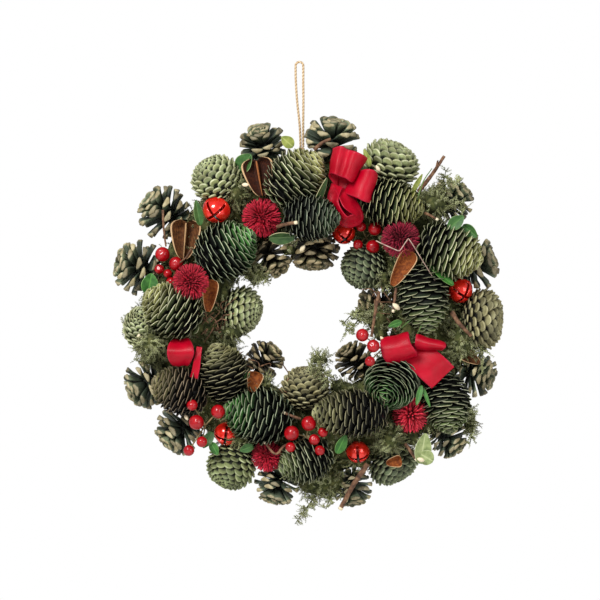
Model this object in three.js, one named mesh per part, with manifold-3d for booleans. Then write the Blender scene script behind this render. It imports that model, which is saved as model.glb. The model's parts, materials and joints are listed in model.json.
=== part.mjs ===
// Evergreen wreath: pine cones, moss, berries, bells and satin ribbon on a ring of vine.
//
// Millimetres, +Z up. The wreath hangs by its own twine loop, and the origin is the point where
// a hook carries that loop. The front faces -Y, and the flat back of the ring faces a wall at +Y.
// Places in the lists below are [x, z] from the middle of the ring, x to the right and z up, as
// seen from the front. A heading is the way that a piece points in that view, in degrees from +X
// towards +Z, and a tilt leans it from there towards the front.

import * as THREE from 'three';
import { mergeVertices } from 'three/addons/utils/BufferGeometryUtils.js';
import Module from 'manifold-3d';

const wasm = await Module();
wasm.setup();

// ---------------------------------------------------------------- driving dimensions
const RING_CENTRE = [10.7, 0, -237]; // below and a little right of the hook
const CORE_RADIUS = 114; // the circle down the middle of the ring
const VINE_HALF_WIDTH = 30;
const VINE_HALF_DEPTH = 17;
const BACK_PLANE = 14.5; // the ring's flat back, behind the core circle
const MOSS_HALF_WIDTH = 36;
const MOSS_HALF_DEPTH = 25;
const RING_SIDES = 40;
const SECTION_STEP = 30; // degrees between the corners of the ring's section

const SEAT_GAP = 0.3; // between a piece and what carries it
const WALL_CLEARANCE = 3; // from the backs of the cones at the rims to the wall

// A cone's solid body as a share of its size over the scale tips, how far up it is fullest, and
// how finely it is drawn.
const LONG_CONE = { lengthShare: 0.96, girthShare: 0.9, fullest: 0.38, sides: 10, rings: 7 };
const ROUND_CONE = { lengthShare: 0.94, girthShare: 0.9, fullest: 0.46, sides: 9, rings: 6 };
const OPEN_CONE = { lengthShare: 0.94, girthShare: 0.86, fullest: 0.5, sides: 8, rings: 5 };

const FLOWER_DEPTH_SHARE = 0.8; // a flower head's depth, as a share of its width
const POD_DEPTH_SHARE = 0.55;

const TWINE = 2.4;
const TWINE_TURNS = 2; // turns of the twine round the ring
const LOOP_RADIUS = 3.6; // at the top of the loop, to the middle of the twine
const KNOT_HALF_HEIGHT = 3.4;
const KNOT_HALF_WIDTH = 3.8;

const BELL_WALL = 0.9;
const BELL_SLOT = 1.8;
const BELL_SLOT_END = 0.22; // how far above the bell's belt the slots end, in radii
const BERRY_WIRE = 1.3;
const WIRES_MEET = 7; // behind the middle of the berries
const RIBBON_WIDTH = 27;
const RIBBON_THICKNESS = 1.2; // the satin and the fold of air that it holds
const EDGE_ON_WIDTH = 19; // of a loop that is seen edge on, front to back
const POD_WALL = 1.6;

// ---------------------------------------------------------------- places of the pieces
// Moss stands out where it was pushed in by the handful, on the outer or the inner side.
const MOSS_CLUMPS = [
  { angle: 187, out: 18, front: 8, spread: 13 },
  { angle: 42, out: 8, front: 4, spread: 8 },
  { angle: -12, out: 5, front: 5, spread: 10 },
  { angle: -59, out: 3, front: 5, spread: 9 },
  { angle: -88, out: 10, front: 0, spread: 8 },
  { angle: 122, out: 3, front: 4, spread: 8 },
  { angle: 143, out: -6, front: 3, spread: 8 },
];

// A cone with a side sits against that side of the ring, as far back as the wall lets it, or
// forward of that. The others are pressed on from the front.
const OPEN_CONES = [
  { at: [-43, 155], length: 34, girth: 44, heading: 105, tilt: 15, side: 'outer' },
  { at: [20, 164], length: 36, girth: 50, heading: 83, tilt: 15, side: 'outer' },
  { at: [131, 105], length: 38, girth: 38, heading: 39, tilt: 10, side: 'outer' },
  { at: [163, 51], length: 32, girth: 50, heading: 17, tilt: 15, side: 'outer' },
  { at: [-130, 89], length: 42, girth: 44, heading: 146, tilt: 20, side: 'outer' },
  { at: [-161, 42], length: 42, girth: 48, heading: 165, tilt: 20, side: 'outer' },
  { at: [-153, -67], length: 36, girth: 44, heading: 204, tilt: 15, side: 'outer' },
  { at: [-125, -112], length: 40, girth: 46, heading: 222, tilt: 15, side: 'outer' },
  { at: [-43, -44], length: 34, girth: 36, heading: 46, tilt: 15, side: 'inner' },
  { at: [58, 8], length: 34, girth: 34, heading: 188, tilt: 15, side: 'inner' },
  { at: [8, 49], length: 40, girth: 34, heading: 260, tilt: 15, side: 'inner' },
  { at: [42, -46], length: 36, girth: 36, heading: 132, tilt: 15, side: 'inner' },
  { at: [162, -60], length: 32, girth: 42, heading: 340, tilt: 15, side: 'outer' },
  { at: [38, -165], length: 36, girth: 38, heading: 283, tilt: 15, side: 'outer' },
];

const ROUND_CONES = [
  { at: [-89, 126], length: 42, girth: 44, heading: 125, tilt: 50 },
  { at: [76, 142], length: 38, girth: 50, heading: 62, tilt: 20 },
  { at: [-62, 2], length: 36, girth: 42, heading: 340, tilt: 30, side: 'inner', forward: 10 },
  { at: [49, 43], length: 40, girth: 40, heading: 221, tilt: 40 },
  { at: [162, -7], length: 36, girth: 52, heading: 358, tilt: 25 },
  { at: [-75, -146], length: 40, girth: 43, heading: 243, tilt: 55 },
  { at: [-5, -70], length: 38, girth: 42, heading: 86, tilt: 40 },
  { at: [80, -146], length: 32, girth: 44, heading: 299, tilt: 20, side: 'outer', forward: 4 },
];

// Long cones lie on the moss, tips pointing along the heading.
const LONG_CONES = [
  { at: [-13, 126], length: 56, girth: 45, heading: 44, tilt: 8 },
  { at: [0, 88], length: 50, girth: 37, heading: 358, tilt: 8 },
  { at: [76, 101], length: 56, girth: 39, heading: 349, tilt: 10 },
  { at: [129, 57], length: 58, girth: 46, heading: 339, tilt: 8 },
  { at: [105, 13], length: 62, girth: 41, heading: 278, tilt: 5 },
  { at: [-79, 59], length: 56, girth: 45, heading: 32, tilt: 10 },
  { at: [-129, 4], length: 54, girth: 43, heading: 148, tilt: 10 },
  { at: [-82, -56], length: 54, girth: 39, heading: 108, tilt: 10 },
  { at: [-122, -71], length: 50, girth: 39, heading: 161, tilt: 10 },
  { at: [-49, -94], length: 61, girth: 44, heading: 168, tilt: 10 },
  { at: [-5, -138], length: 48, girth: 37, heading: 201, tilt: 10 },
  { at: [74, -66], length: 46, girth: 41, heading: 239, tilt: 50 },
  { at: [36, -92], length: 68, girth: 38, heading: 179, tilt: 5 },
  { at: [127, -84], length: 52, girth: 39, heading: 275, tilt: 15 },
];

const BELLS = [
  { at: [-88, 96], radius: 12.5, heading: 250, tilt: 60 },
  { at: [31, 75], radius: 10.5, heading: 280, tilt: 50 },
  { at: [140, 21], radius: 11.5, heading: 300, tilt: 55 },
  { at: [-79, -113], radius: 11, heading: 260, tilt: 60 },
  { at: [44, -130], radius: 10.5, heading: 270, tilt: 50 },
];

// Dried flower heads, flatter than a ball along the way that they look.
const FLOWER_HEADS = [
  { at: [-46, 89], radius: 17 },
  { at: [-111, 29], radius: 14.5 },
  { at: [83, 69], radius: 17 },
  { at: [93, -95], radius: 15.5 },
  { at: [-41, -134], radius: 13.5 },
];

// Each spray lists its berries as [x, z, radius], and foot is where their wires meet.
const BERRY_SPRAYS = [
  {
    foot: [-128, 40],
    berries: [[-139, 55, 7], [-126, 46, 7], [-142, 41, 4.7], [-134, 37, 4.2], [-131, 29, 4.7]],
  },
  {
    foot: [52, 71],
    berries: [[47, 81, 4.7], [60, 79, 6.5], [44, 64, 4.7], [58, 62, 6.5]],
  },
  {
    foot: [80, -34],
    berries: [[47, -20, 6], [57, -30, 6], [54, -44, 4.7]],
  },
  {
    foot: [-98, -104],
    berries: [[-110, -85, 5.1], [-106, -101, 7], [-86, -91, 6.5], [-101, -119, 5.1],
      [-113, -127, 5.1]],
  },
  {
    foot: [-4, -115],
    berries: [[-2, -102, 7], [-18, -111, 7], [11, -110, 4.7], [3, -117, 5.1], [-19, -124, 4.7],
      [8, -127, 4.7]],
  },
];

// Halves of split seed pods, hollow side out.
const PODS = [
  { at: [-50, 127], length: 34, width: 22, heading: 108 },
  { at: [-117, 69], length: 36, width: 26, heading: 88 },
];

// A ribbon loop is an oval band: across and deep are its half sizes, and its width runs along
// the heading. A loop that is seen edge on has facing: 'side', so its width runs front to back.
const RIBBONS = [
  {
    knot: { at: [33, 116], size: [12, 6, 9] },
    loops: [
      { at: [36, 137], across: 15, deep: 11, heading: 68 },
      { at: [49, 117], across: 9, deep: 9, heading: 68 },
      { at: [31, 102], across: 8, deep: 21, heading: 113, facing: 'side' },
    ],
    tails: [],
  },
  {
    knot: { at: [96, -34], size: [12, 6, 9] },
    loops: [
      { at: [81, -33], across: 13.5, deep: 10, heading: 14 },
      { at: [110, -27], across: 8, deep: 8, heading: 342 },
    ],
    tails: [{ at: [109, -49], length: 33, width: RIBBON_WIDTH, heading: 312 }],
  },
  {
    knot: { at: [-110, -38], size: [7, 5, 7] },
    loops: [{ at: [-120, -36], across: 14, deep: 10, heading: 350 }],
    tails: [{ at: [-107, -46], length: 29, width: 8, heading: 261 }],
  },
];

// ---------------------------------------------------------------- solids
// The same surface with its shared corners merged, no flat triangles, and its faces outwards.
function closed(geometry) {
  const bare = geometry.clone();
  for (const name of Object.keys(bare.attributes)) {
    if (name !== 'position') bare.deleteAttribute(name);
  }
  const merged = mergeVertices(bare, 1e-4);
  const corners = [];
  const old = merged.index.array;
  for (let i = 0; i < old.length; i += 3) {
    const [a, b, c] = [old[i], old[i + 1], old[i + 2]];
    if (a !== b && b !== c && c !== a) corners.push(a, b, c);
  }
  if (signedVolume(merged.attributes.position, corners) < 0) corners.reverse();
  merged.setIndex(corners);
  merged.computeVertexNormals();
  return merged;
}

function signedVolume(position, corners) {
  const [a, b, c] = [new THREE.Vector3(), new THREE.Vector3(), new THREE.Vector3()];
  let volume = 0;
  for (let i = 0; i < corners.length; i += 3) {
    a.fromBufferAttribute(position, corners[i]);
    b.fromBufferAttribute(position, corners[i + 1]);
    c.fromBufferAttribute(position, corners[i + 2]);
    volume += a.dot(b.cross(c)) / 6;
  }
  return volume;
}

function solidOf(geometry, matrix = new THREE.Matrix4()) {
  const moved = closed(geometry).applyMatrix4(matrix);
  return new wasm.Manifold(new wasm.Mesh({
    numProp: 3,
    vertProperties: new Float32Array(moved.attributes.position.array),
    triVerts: new Uint32Array(moved.index.array),
  }));
}

function geometryOf(solid) {
  const mesh = solid.getMesh();
  const geometry = new THREE.BufferGeometry();
  geometry.setAttribute('position', new THREE.BufferAttribute(mesh.vertProperties, 3));
  geometry.setIndex(new THREE.BufferAttribute(mesh.triVerts, 1));
  geometry.computeVertexNormals();
  return geometry;
}

function joined(solids) {
  return solids.reduce((whole, next) => whole.add(next));
}

// The direction of a heading in the plane of the ring, leaned towards the front by the tilt.
function direction(heading, tilt = 0) {
  const [h, t] = [THREE.MathUtils.degToRad(heading), THREE.MathUtils.degToRad(tilt)];
  return new THREE.Vector3(Math.cos(h) * Math.cos(t), -Math.sin(t), Math.sin(h) * Math.cos(t));
}

function turnFromY(heading, tilt) {
  const up = new THREE.Vector3(0, 1, 0);
  return new THREE.Quaternion().setFromUnitVectors(up, direction(heading, tilt));
}

// ---------------------------------------------------------------- the ring and its moss
function sectionPoint(degrees, halfWidth, halfDepth) {
  const angle = THREE.MathUtils.degToRad(degrees);
  const y = Math.min(-halfDepth * Math.sin(angle), BACK_PLANE);
  return new THREE.Vector2(CORE_RADIUS + halfWidth * Math.cos(angle), y);
}

function vineRing() {
  const outline = [];
  for (let angle = 0; angle <= 360; angle += SECTION_STEP) {
    outline.push(sectionPoint(angle, VINE_HALF_WIDTH, VINE_HALF_DEPTH));
  }
  const ring = solidOf(new THREE.LatheGeometry(outline, RING_SIDES));
  return geometryOf(ring.subtract(twineGroove()));
}

// The moss wraps the front and the sides of the ring, and leaves its back bare.
const MOSS_START = -30;
const MOSS_END = 210;

function mossBed() {
  const outline = [];
  const inner = [VINE_HALF_WIDTH + SEAT_GAP * 1.5, VINE_HALF_DEPTH + SEAT_GAP * 1.5];
  for (let angle = MOSS_START; angle <= MOSS_END; angle += SECTION_STEP) {
    outline.push(sectionPoint(angle, MOSS_HALF_WIDTH, MOSS_HALF_DEPTH));
  }
  for (let angle = MOSS_END; angle >= MOSS_START; angle -= SECTION_STEP) {
    outline.push(sectionPoint(angle, ...inner));
  }
  outline.push(outline[0].clone());
  const geometry = new THREE.LatheGeometry(outline, RING_SIDES);
  const position = geometry.attributes.position;
  const point = new THREE.Vector3();
  for (let i = 0; i < position.count; i += 1) {
    position.setXYZ(i, ...swollen(point.fromBufferAttribute(position, i)).toArray());
  }
  return closed(geometry);
}

const OUTER_FACE = 0.97; // of the section's half sizes: anything less is the inner face

// A point of the moss's outer face, moved out where a clump is. The inner face stays put.
function swollen(point) {
  const radius = Math.hypot(point.x, point.z);
  const across = (radius - CORE_RADIUS) / MOSS_HALF_WIDTH;
  const forward = -point.y / MOSS_HALF_DEPTH;
  if (Math.hypot(across, forward) < OUTER_FACE) return point;
  const angle = THREE.MathUtils.radToDeg(Math.atan2(point.z, point.x));
  let [outwards, forwards] = [0, 0];
  for (const clump of MOSS_CLUMPS) {
    const away = THREE.MathUtils.euclideanModulo(angle - clump.angle + 180, 360) - 180;
    const share = Math.exp(-((away / clump.spread) ** 2));
    outwards += share * clump.out * Math.max(0, across * Math.sign(clump.out));
    forwards += share * clump.front * Math.max(0, forward);
  }
  const scale = (radius + outwards) / radius;
  return point.set(point.x * scale, point.y - forwards, point.z * scale);
}

// ---------------------------------------------------------------- the twine
// The turns lie round ring and moss where the loop leaves them, with the knot on top.
const TWINE_X = 2.3; // under the knot, from the hook
const TWINE_BED = BACK_PLANE - TWINE - 3 * SEAT_GAP; // where the turns lie in the ring's back
const STRAIGHT_BACK = 270;

// From the section's own plane to the spot on the ring below the loop.
const TWINE_TURN = new THREE.Matrix4().makeRotationY(
  Math.asin((TWINE_X - RING_CENTRE[0]) / (CORE_RADIUS + MOSS_HALF_WIDTH)) - Math.PI / 2,
);

// The outline round ring and moss at that distance, anticlockwise.
function sectionOutline(extra) {
  const points = [];
  for (let angle = 360 - SECTION_STEP; angle >= 0; angle -= SECTION_STEP) {
    if (angle === STRAIGHT_BACK) continue; // its neighbours already draw the flat back
    const behind = angle > MOSS_END && angle < MOSS_START + 360;
    const halfWidth = (behind ? VINE_HALF_WIDTH : MOSS_HALF_WIDTH) + extra;
    const point = sectionPoint(angle, halfWidth, MOSS_HALF_DEPTH + extra);
    if (behind) point.y = TWINE_BED + extra;
    points.push(point);
  }
  return points;
}

function twineCollar() {
  const clear = 2 * SEAT_GAP;
  const band = new THREE.Shape(sectionOutline(clear + TWINE));
  band.holes.push(new THREE.Path(sectionOutline(clear)));
  const width = TWINE * TWINE_TURNS;
  const wrap = new THREE.ExtrudeGeometry(band, { depth: width, bevelEnabled: false });
  wrap.translate(0, 0, -width / 2);
  const knot = new THREE.SphereGeometry(1, 8, 6);
  knot.scale(KNOT_HALF_HEIGHT, KNOT_HALF_WIDTH, KNOT_HALF_WIDTH);
  knot.translate(CORE_RADIUS + MOSS_HALF_WIDTH + clear + KNOT_HALF_HEIGHT, 0, 0);
  return geometryOf(joined([solidOf(wrap, TWINE_TURN), solidOf(knot, TWINE_TURN)]));
}

// The bed that the twine has pulled into the back of the ring.
function twineGroove() {
  const depth = VINE_HALF_DEPTH;
  const width = TWINE * TWINE_TURNS + 4 * SEAT_GAP;
  const groove = new THREE.BoxGeometry(3 * VINE_HALF_WIDTH, depth, width);
  groove.translate(CORE_RADIUS, TWINE_BED + SEAT_GAP + depth / 2, 0);
  return solidOf(groove, TWINE_TURN);
}

// The strands run up side by side from the knot, part, and go over the hook. These points were
// chosen by hand, as [x, z] from the hook, up the left strand and down the right one.
const LOOP_POINTS = [
  [1.0, -79.4], [0.9, -74], [0.6, -66], [0.1, -58], [-0.7, -50], [-1.8, -40], [-2.7, -30],
  [-3.3, -20], [-3.6, -11], [-3.6, -2.4],
];
const LOOP_RIGHT = [
  [3.6, -2.4], [3.6, -11], [3.6, -20], [3.7, -30], [3.7, -40], [3.6, -50], [3.5, -58],
  [3.5, -66], [3.5, -74], [3.6, -79.4],
];

function hangingLoop() {
  const arc = [];
  for (const degrees of [150, 120, 90, 60, 30]) {
    const angle = THREE.MathUtils.degToRad(degrees);
    arc.push([LOOP_RADIUS * Math.cos(angle), LOOP_RADIUS * Math.sin(angle) - TWINE]);
  }
  const route = [...LOOP_POINTS, ...arc, ...LOOP_RIGHT];
  const path = new THREE.CatmullRomCurve3(route.map(([x, z]) => new THREE.Vector3(x, 0, z)));
  const section = new THREE.Shape();
  section.absarc(0, 0, TWINE / 2, 0, 2 * Math.PI);
  const tube = { steps: 52, curveSegments: 4, bevelEnabled: false, extrudePath: path };
  return closed(new THREE.ExtrudeGeometry(section, tube));
}

// ---------------------------------------------------------------- things that grew
// A body of revolution along its own +Y, butt to tip.
function coneBody({ length, girth }, { lengthShare, girthShare, fullest, sides, rings }) {
  const [bodyLength, bodyRadius] = [length * lengthShare, (girth * girthShare) / 2];
  const power = Math.log(0.5) / Math.log(fullest); // brings the fullest place to the middle
  const outline = [new THREE.Vector2(0, -bodyLength / 2)];
  for (let i = 1; i < rings; i += 1) {
    const along = (1 - Math.cos((Math.PI * i) / rings)) / 2;
    const swell = Math.sqrt(1 - (2 * along ** power - 1) ** 2);
    outline.push(new THREE.Vector2(bodyRadius * swell, (along - 0.5) * bodyLength));
  }
  outline.push(new THREE.Vector2(0, bodyLength / 2));
  return closed(new THREE.LatheGeometry(outline, sides));
}

function flowerHead({ radius }) {
  const head = new THREE.IcosahedronGeometry(radius, 1);
  head.scale(1, FLOWER_DEPTH_SHARE, 1);
  return closed(head);
}

// The outer shell of half a pod: an oval bowl with its mouth to the front.
function podHalf({ length, width }) {
  const depth = width * POD_DEPTH_SHARE;
  const outer = new THREE.SphereGeometry(1, 10, 8).scale(length / 2, depth, width / 2);
  const inner = new THREE.SphereGeometry(1, 8, 6);
  inner.scale(length / 2 - POD_WALL, depth - POD_WALL, width / 2 - POD_WALL);
  const front = new THREE.BoxGeometry(2 * length, 2 * depth, 2 * width).translate(0, -depth, 0);
  return geometryOf(solidOf(outer).subtract(solidOf(inner)).subtract(solidOf(front)));
}

// ---------------------------------------------------------------- things that were made
// A thin shell, slit crosswise at its mouth, which looks along its own +Y.
function bellShell({ radius }) {
  const outer = new THREE.SphereGeometry(radius, 10, 6);
  const inner = new THREE.SphereGeometry(radius - BELL_WALL, 8, 5);
  const slot = new THREE.BoxGeometry(3 * radius, radius, BELL_SLOT);
  slot.translate(0, radius / 2 + BELL_SLOT_END * radius, 0);
  const crossed = slot.clone().rotateY(Math.PI / 2);
  const shell = solidOf(outer).subtract(solidOf(inner));
  return geometryOf(shell.subtract(solidOf(slot)).subtract(solidOf(crossed)));
}

// Berries on short wires that meet behind them. Its own middle is at the foot.
function berrySpray({ foot, berries }) {
  const meeting = new THREE.Vector3(0, WIRES_MEET, 0);
  const section = new THREE.Shape();
  section.absarc(0, 0, BERRY_WIRE / 2, 0, 2 * Math.PI);
  const solids = [];
  for (const [x, z, radius] of berries) {
    const place = new THREE.Vector3(x - foot[0], 0, z - foot[1]);
    const path = new THREE.LineCurve3(meeting, place);
    const wire = { steps: 1, curveSegments: 3, bevelEnabled: false, extrudePath: path };
    solids.push(solidOf(new THREE.ExtrudeGeometry(section, wire)));
    solids.push(solidOf(new THREE.SphereGeometry(radius, 6, 5).translate(...place.toArray())));
  }
  const twist = new THREE.SphereGeometry(BERRY_WIRE, 6, 4);
  solids.push(solidOf(twist.translate(...meeting.toArray())));
  return geometryOf(joined(solids));
}

function ribbonLoop({ at, across, deep, heading, facing }, knot) {
  const band = new THREE.Shape();
  band.absellipse(0, 0, across, deep, 0, 2 * Math.PI);
  const hole = new THREE.Path();
  const [holeX, holeY] = [across - RIBBON_THICKNESS, deep - RIBBON_THICKNESS];
  hole.absellipse(0, 0, holeX, holeY, 0, 2 * Math.PI);
  band.holes.push(hole);
  const width = facing === 'side' ? EDGE_ON_WIDTH : RIBBON_WIDTH;
  const shape = { depth: width, curveSegments: 8, bevelEnabled: false };
  const loop = new THREE.ExtrudeGeometry(band, shape).translate(0, 0, -width / 2);
  if (facing === 'side') loop.rotateX(Math.PI / 2);
  loop.rotateY(THREE.MathUtils.degToRad(90 - heading));
  return loop.translate(at[0] - knot.at[0], 0, at[1] - knot.at[1]);
}

function ribbonTail({ at, length, width, heading }, knot) {
  const strip = new THREE.BoxGeometry(length, RIBBON_THICKNESS, width);
  strip.rotateY(THREE.MathUtils.degToRad(-heading));
  return strip.translate(at[0] - knot.at[0], 0, at[1] - knot.at[1]);
}

// Loops and tails gathered at a knot, which is the ribbon's own middle.
function ribbonBow({ knot, loops, tails }) {
  const gathered = new THREE.SphereGeometry(1, 8, 6).scale(...knot.size);
  const solids = [solidOf(gathered)];
  for (const loop of loops) solids.push(solidOf(ribbonLoop(loop, knot)));
  for (const tail of tails) solids.push(solidOf(ribbonTail(tail, knot)));
  return geometryOf(joined(solids));
}

// ---------------------------------------------------------------- seating
const seated = [];

function gapTo(solid, reach) {
  let gap = reach;
  for (const other of seated) gap = Math.min(gap, solid.minGap(other, gap));
  return gap;
}

// Moves a piece along push, by no more than its clearance each time, until it touches.
const REACH = 60;
const CLOSE_ENOUGH = 0.05;
const MOST_STEPS = 90;
const STANDOFF = 120; // how far from the ring a piece starts
const INNER_START = 5; // or how far from the middle, for one that is pushed outwards
const BACKWARDS = new THREE.Vector3(0, 1, 0);

function seatAlong(geometry, turn, start, push) {
  const still = solidOf(geometry, new THREE.Matrix4().makeRotationFromQuaternion(turn));
  const place = start.clone();
  for (let step = 0; step < MOST_STEPS; step += 1) {
    const gap = gapTo(still.translate(place.toArray()), REACH);
    if (gap < SEAT_GAP + CLOSE_ENOUGH) return { place, solid: still.translate(place.toArray()) };
    place.addScaledVector(push, gap - SEAT_GAP);
  }
  throw new Error(`no seat near ${start.toArray()}`);
}

function seatFromFront(geometry, turn, [x, z]) {
  return seatAlong(geometry, turn, new THREE.Vector3(x, -STANDOFF, z), BACKWARDS);
}

// Towards the ring along its radius, from outside or from the open middle.
function seatFromSide(geometry, turn, { at, side, forward = 0 }) {
  const outwards = new THREE.Vector3(at[0], 0, at[1]).normalize();
  const from = side === 'inner' ? INNER_START : CORE_RADIUS + STANDOFF;
  const start = outwards.clone().multiplyScalar(from);
  const turned = geometry.clone().applyQuaternion(turn);
  turned.computeBoundingBox();
  start.y = BACK_PLANE - WALL_CLEARANCE - forward - turned.boundingBox.max.y;
  return seatAlong(geometry, turn, start, side === 'inner' ? outwards : outwards.negate());
}

function seatCone(geometry, turn, cone) {
  if (cone.side) return seatFromSide(geometry, turn, cone);
  return seatFromFront(geometry, turn, cone.at);
}

// ---------------------------------------------------------------- materials
function material(color, roughness, metalness = 0) {
  return new THREE.MeshStandardMaterial({ color, roughness, metalness });
}

// ---------------------------------------------------------------- the wreath
const wreath = new THREE.Group();
const onRing = new THREE.Group();
onRing.position.set(...RING_CENTRE);
wreath.add(onRing);

function addFixed(name, geometry, finish, parent = onRing) {
  const mesh = new THREE.Mesh(geometry, finish);
  mesh.name = name;
  parent.add(mesh);
  if (parent === onRing) seated.push(solidOf(geometry));
}

function addSeated(name, geometry, finish, turn, { place, solid }) {
  const mesh = new THREE.Mesh(geometry, finish);
  mesh.name = name;
  mesh.quaternion.copy(turn);
  mesh.position.copy(place);
  onRing.add(mesh);
  seated.push(solid);
}

const numbered = (name, index) => `${name}_${String(index + 1).padStart(2, '0')}`;

addFixed('vine_ring', vineRing(), material(0x5b4533, 0.9));
addFixed('moss_bed', mossBed(), material(0x6f7a3c, 1));
addFixed('twine_collar', twineCollar(), material(0xc9ab85, 0.95));
addFixed('hanging_loop', hangingLoop(), material(0xd9bf9c, 0.95), wreath);

OPEN_CONES.forEach((cone, i) => {
  const [geometry, turn] = [coneBody(cone, OPEN_CONE), turnFromY(cone.heading, cone.tilt)];
  const seat = seatCone(geometry, turn, cone);
  addSeated(numbered('open_cone', i), geometry, material(0x4a4c38, 0.85), turn, seat);
});

ROUND_CONES.forEach((cone, i) => {
  const [geometry, turn] = [coneBody(cone, ROUND_CONE), turnFromY(cone.heading, cone.tilt)];
  const seat = seatCone(geometry, turn, cone);
  addSeated(numbered('round_cone', i), geometry, material(0x7c8262, 0.8), turn, seat);
});

LONG_CONES.forEach((cone, i) => {
  const [geometry, turn] = [coneBody(cone, LONG_CONE), turnFromY(cone.heading, cone.tilt)];
  const seat = seatFromFront(geometry, turn, cone.at);
  addSeated(numbered('long_cone', i), geometry, material(0x33402b, 0.75), turn, seat);
});

BELLS.forEach((bell, i) => {
  const [geometry, turn] = [bellShell(bell), turnFromY(bell.heading, bell.tilt)];
  const seat = seatFromFront(geometry, turn, bell.at);
  addSeated(numbered('jingle_bell', i), geometry, material(0xd02a12, 0.2, 0.9), turn, seat);
});

FLOWER_HEADS.forEach((head, i) => {
  const [geometry, turn] = [flowerHead(head), new THREE.Quaternion()];
  const seat = seatFromFront(geometry, turn, head.at);
  addSeated(numbered('flower_head', i), geometry, material(0xa30f24, 0.95), turn, seat);
});

PODS.forEach((pod, i) => {
  const geometry = podHalf(pod);
  const lean = THREE.MathUtils.degToRad(-pod.heading);
  const turn = new THREE.Quaternion().setFromAxisAngle(BACKWARDS, lean);
  const seat = seatFromFront(geometry, turn, pod.at);
  addSeated(numbered('seed_pod', i), geometry, material(0x8a5a35, 0.8), turn, seat);
});

RIBBONS.forEach((ribbon, i) => {
  const [geometry, turn] = [ribbonBow(ribbon), new THREE.Quaternion()];
  const seat = seatFromFront(geometry, turn, ribbon.knot.at);
  addSeated(numbered('ribbon', i), geometry, material(0xc0102a, 0.4), turn, seat);
});

BERRY_SPRAYS.forEach((spray, i) => {
  const [geometry, turn] = [berrySpray(spray), new THREE.Quaternion()];
  const seat = seatFromFront(geometry, turn, spray.foot);
  addSeated(numbered('berry_spray', i), geometry, material(0xc40d1e, 0.15), turn, seat);
});

export default wreath;
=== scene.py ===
"""The looks of an evergreen wreath: cones, moss, berries, bells and satin on a ring of vine.

Metres, +Z up. The origin is the hook that carries the twine loop, and the front faces -Y.
Sizes in the lists are millimetres. A place [x, z] or [x, depth, z] is from the middle of the
ring, as seen from the front, and its depth is along +Y. A heading is degrees from +X towards
+Z in that view, and a tilt leans a piece from its heading towards the front.
"""

import json
import math

import bmesh
import bpy
import numpy as np
from mathutils import Matrix, Vector

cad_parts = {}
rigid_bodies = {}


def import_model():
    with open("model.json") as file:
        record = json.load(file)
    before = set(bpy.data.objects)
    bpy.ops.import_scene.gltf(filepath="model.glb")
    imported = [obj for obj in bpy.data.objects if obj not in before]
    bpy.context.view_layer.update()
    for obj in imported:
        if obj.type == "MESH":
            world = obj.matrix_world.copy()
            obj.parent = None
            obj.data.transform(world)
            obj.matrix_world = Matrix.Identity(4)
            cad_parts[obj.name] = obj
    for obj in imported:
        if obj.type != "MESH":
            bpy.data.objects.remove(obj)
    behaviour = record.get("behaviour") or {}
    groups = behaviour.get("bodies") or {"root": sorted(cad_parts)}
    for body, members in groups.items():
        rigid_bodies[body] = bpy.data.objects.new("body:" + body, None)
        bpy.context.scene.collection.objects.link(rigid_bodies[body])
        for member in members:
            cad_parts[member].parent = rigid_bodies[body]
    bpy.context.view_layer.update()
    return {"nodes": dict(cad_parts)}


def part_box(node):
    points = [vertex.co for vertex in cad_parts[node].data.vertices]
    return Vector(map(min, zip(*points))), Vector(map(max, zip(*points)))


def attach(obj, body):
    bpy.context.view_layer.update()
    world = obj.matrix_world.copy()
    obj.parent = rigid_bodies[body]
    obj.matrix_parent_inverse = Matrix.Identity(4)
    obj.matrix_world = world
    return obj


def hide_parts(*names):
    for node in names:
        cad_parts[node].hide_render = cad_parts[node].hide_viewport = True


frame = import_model()

BODY = "root"
MM = 0.001
RING_CENTRE = np.array([10.7, 0.0, -237.0])
CORE_RADIUS = 114.0  # the circle down the middle of the ring
FULL_TURN = 2 * math.pi
GOLDEN_ANGLE = math.pi * (3 - math.sqrt(5))
MATH, VECTORS = "ShaderNodeMath", "ShaderNodeVectorMath"
RAMP, MIX, RANDOM = "ShaderNodeValToRGB", "ShaderNodeMix", "FunctionNodeRandomValue"
STORE = "GeometryNodeStoreNamedAttribute"
# Of two colours: one faded into the other, or one dimmed by the other.
BLENDED = {"data_type": "RGBA"}
DARKENED = {"data_type": "RGBA", "blend_type": "MULTIPLY"}
BLACK, WHITE = "#000000", "#ffffff"
EVERY_WAY = {0: (-1, -1, -1), 1: (1, 1, 1)}  # a random vector's least and most
TREES = {}  # by the name of what they grow
chance = np.random.default_rng(27)


# ------------------------------------------------------------------ trees, colours and meshes
def output_of(source):
    """A node's first output that is in use, or a socket as it is."""
    if isinstance(source, bpy.types.Node):
        return next(output for output in source.outputs if output.enabled)
    return source


def add(tree, kind, inputs=None, stops=(), **settings):
    """Adds a node with its settings and links. Stops are a ramp's (position, colour) pairs.

    An input is a value, a #rrggbb colour, a socket or a node.
    """
    made = tree.nodes.new(kind)
    for name, value in settings.items():
        setattr(made, name, value)
    for key, value in (inputs or {}).items():
        value = output_of(value)
        if isinstance(value, bpy.types.NodeSocket):
            tree.links.new(value, made.inputs[key])
        else:
            is_colour = str(value).startswith("#")
            made.inputs[key].default_value = linear(value) if is_colour else value
    if stops:
        elements = made.color_ramp.elements
        while len(elements) < len(stops):
            elements.new(0.5)
        for element, (position, colour) in zip(elements, stops):
            element.position = position
            element.color = linear(colour)
    return made


def linear(colour):
    """A #rrggbb colour as linear light, with its alpha."""
    parts = [int(colour[i:i + 2], 16) / 255 for i in (1, 3, 5)]
    return (*[p / 12.92 if p <= 0.04045 else ((p + 0.055) / 1.055) ** 2.4 for p in parts], 1.0)


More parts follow.
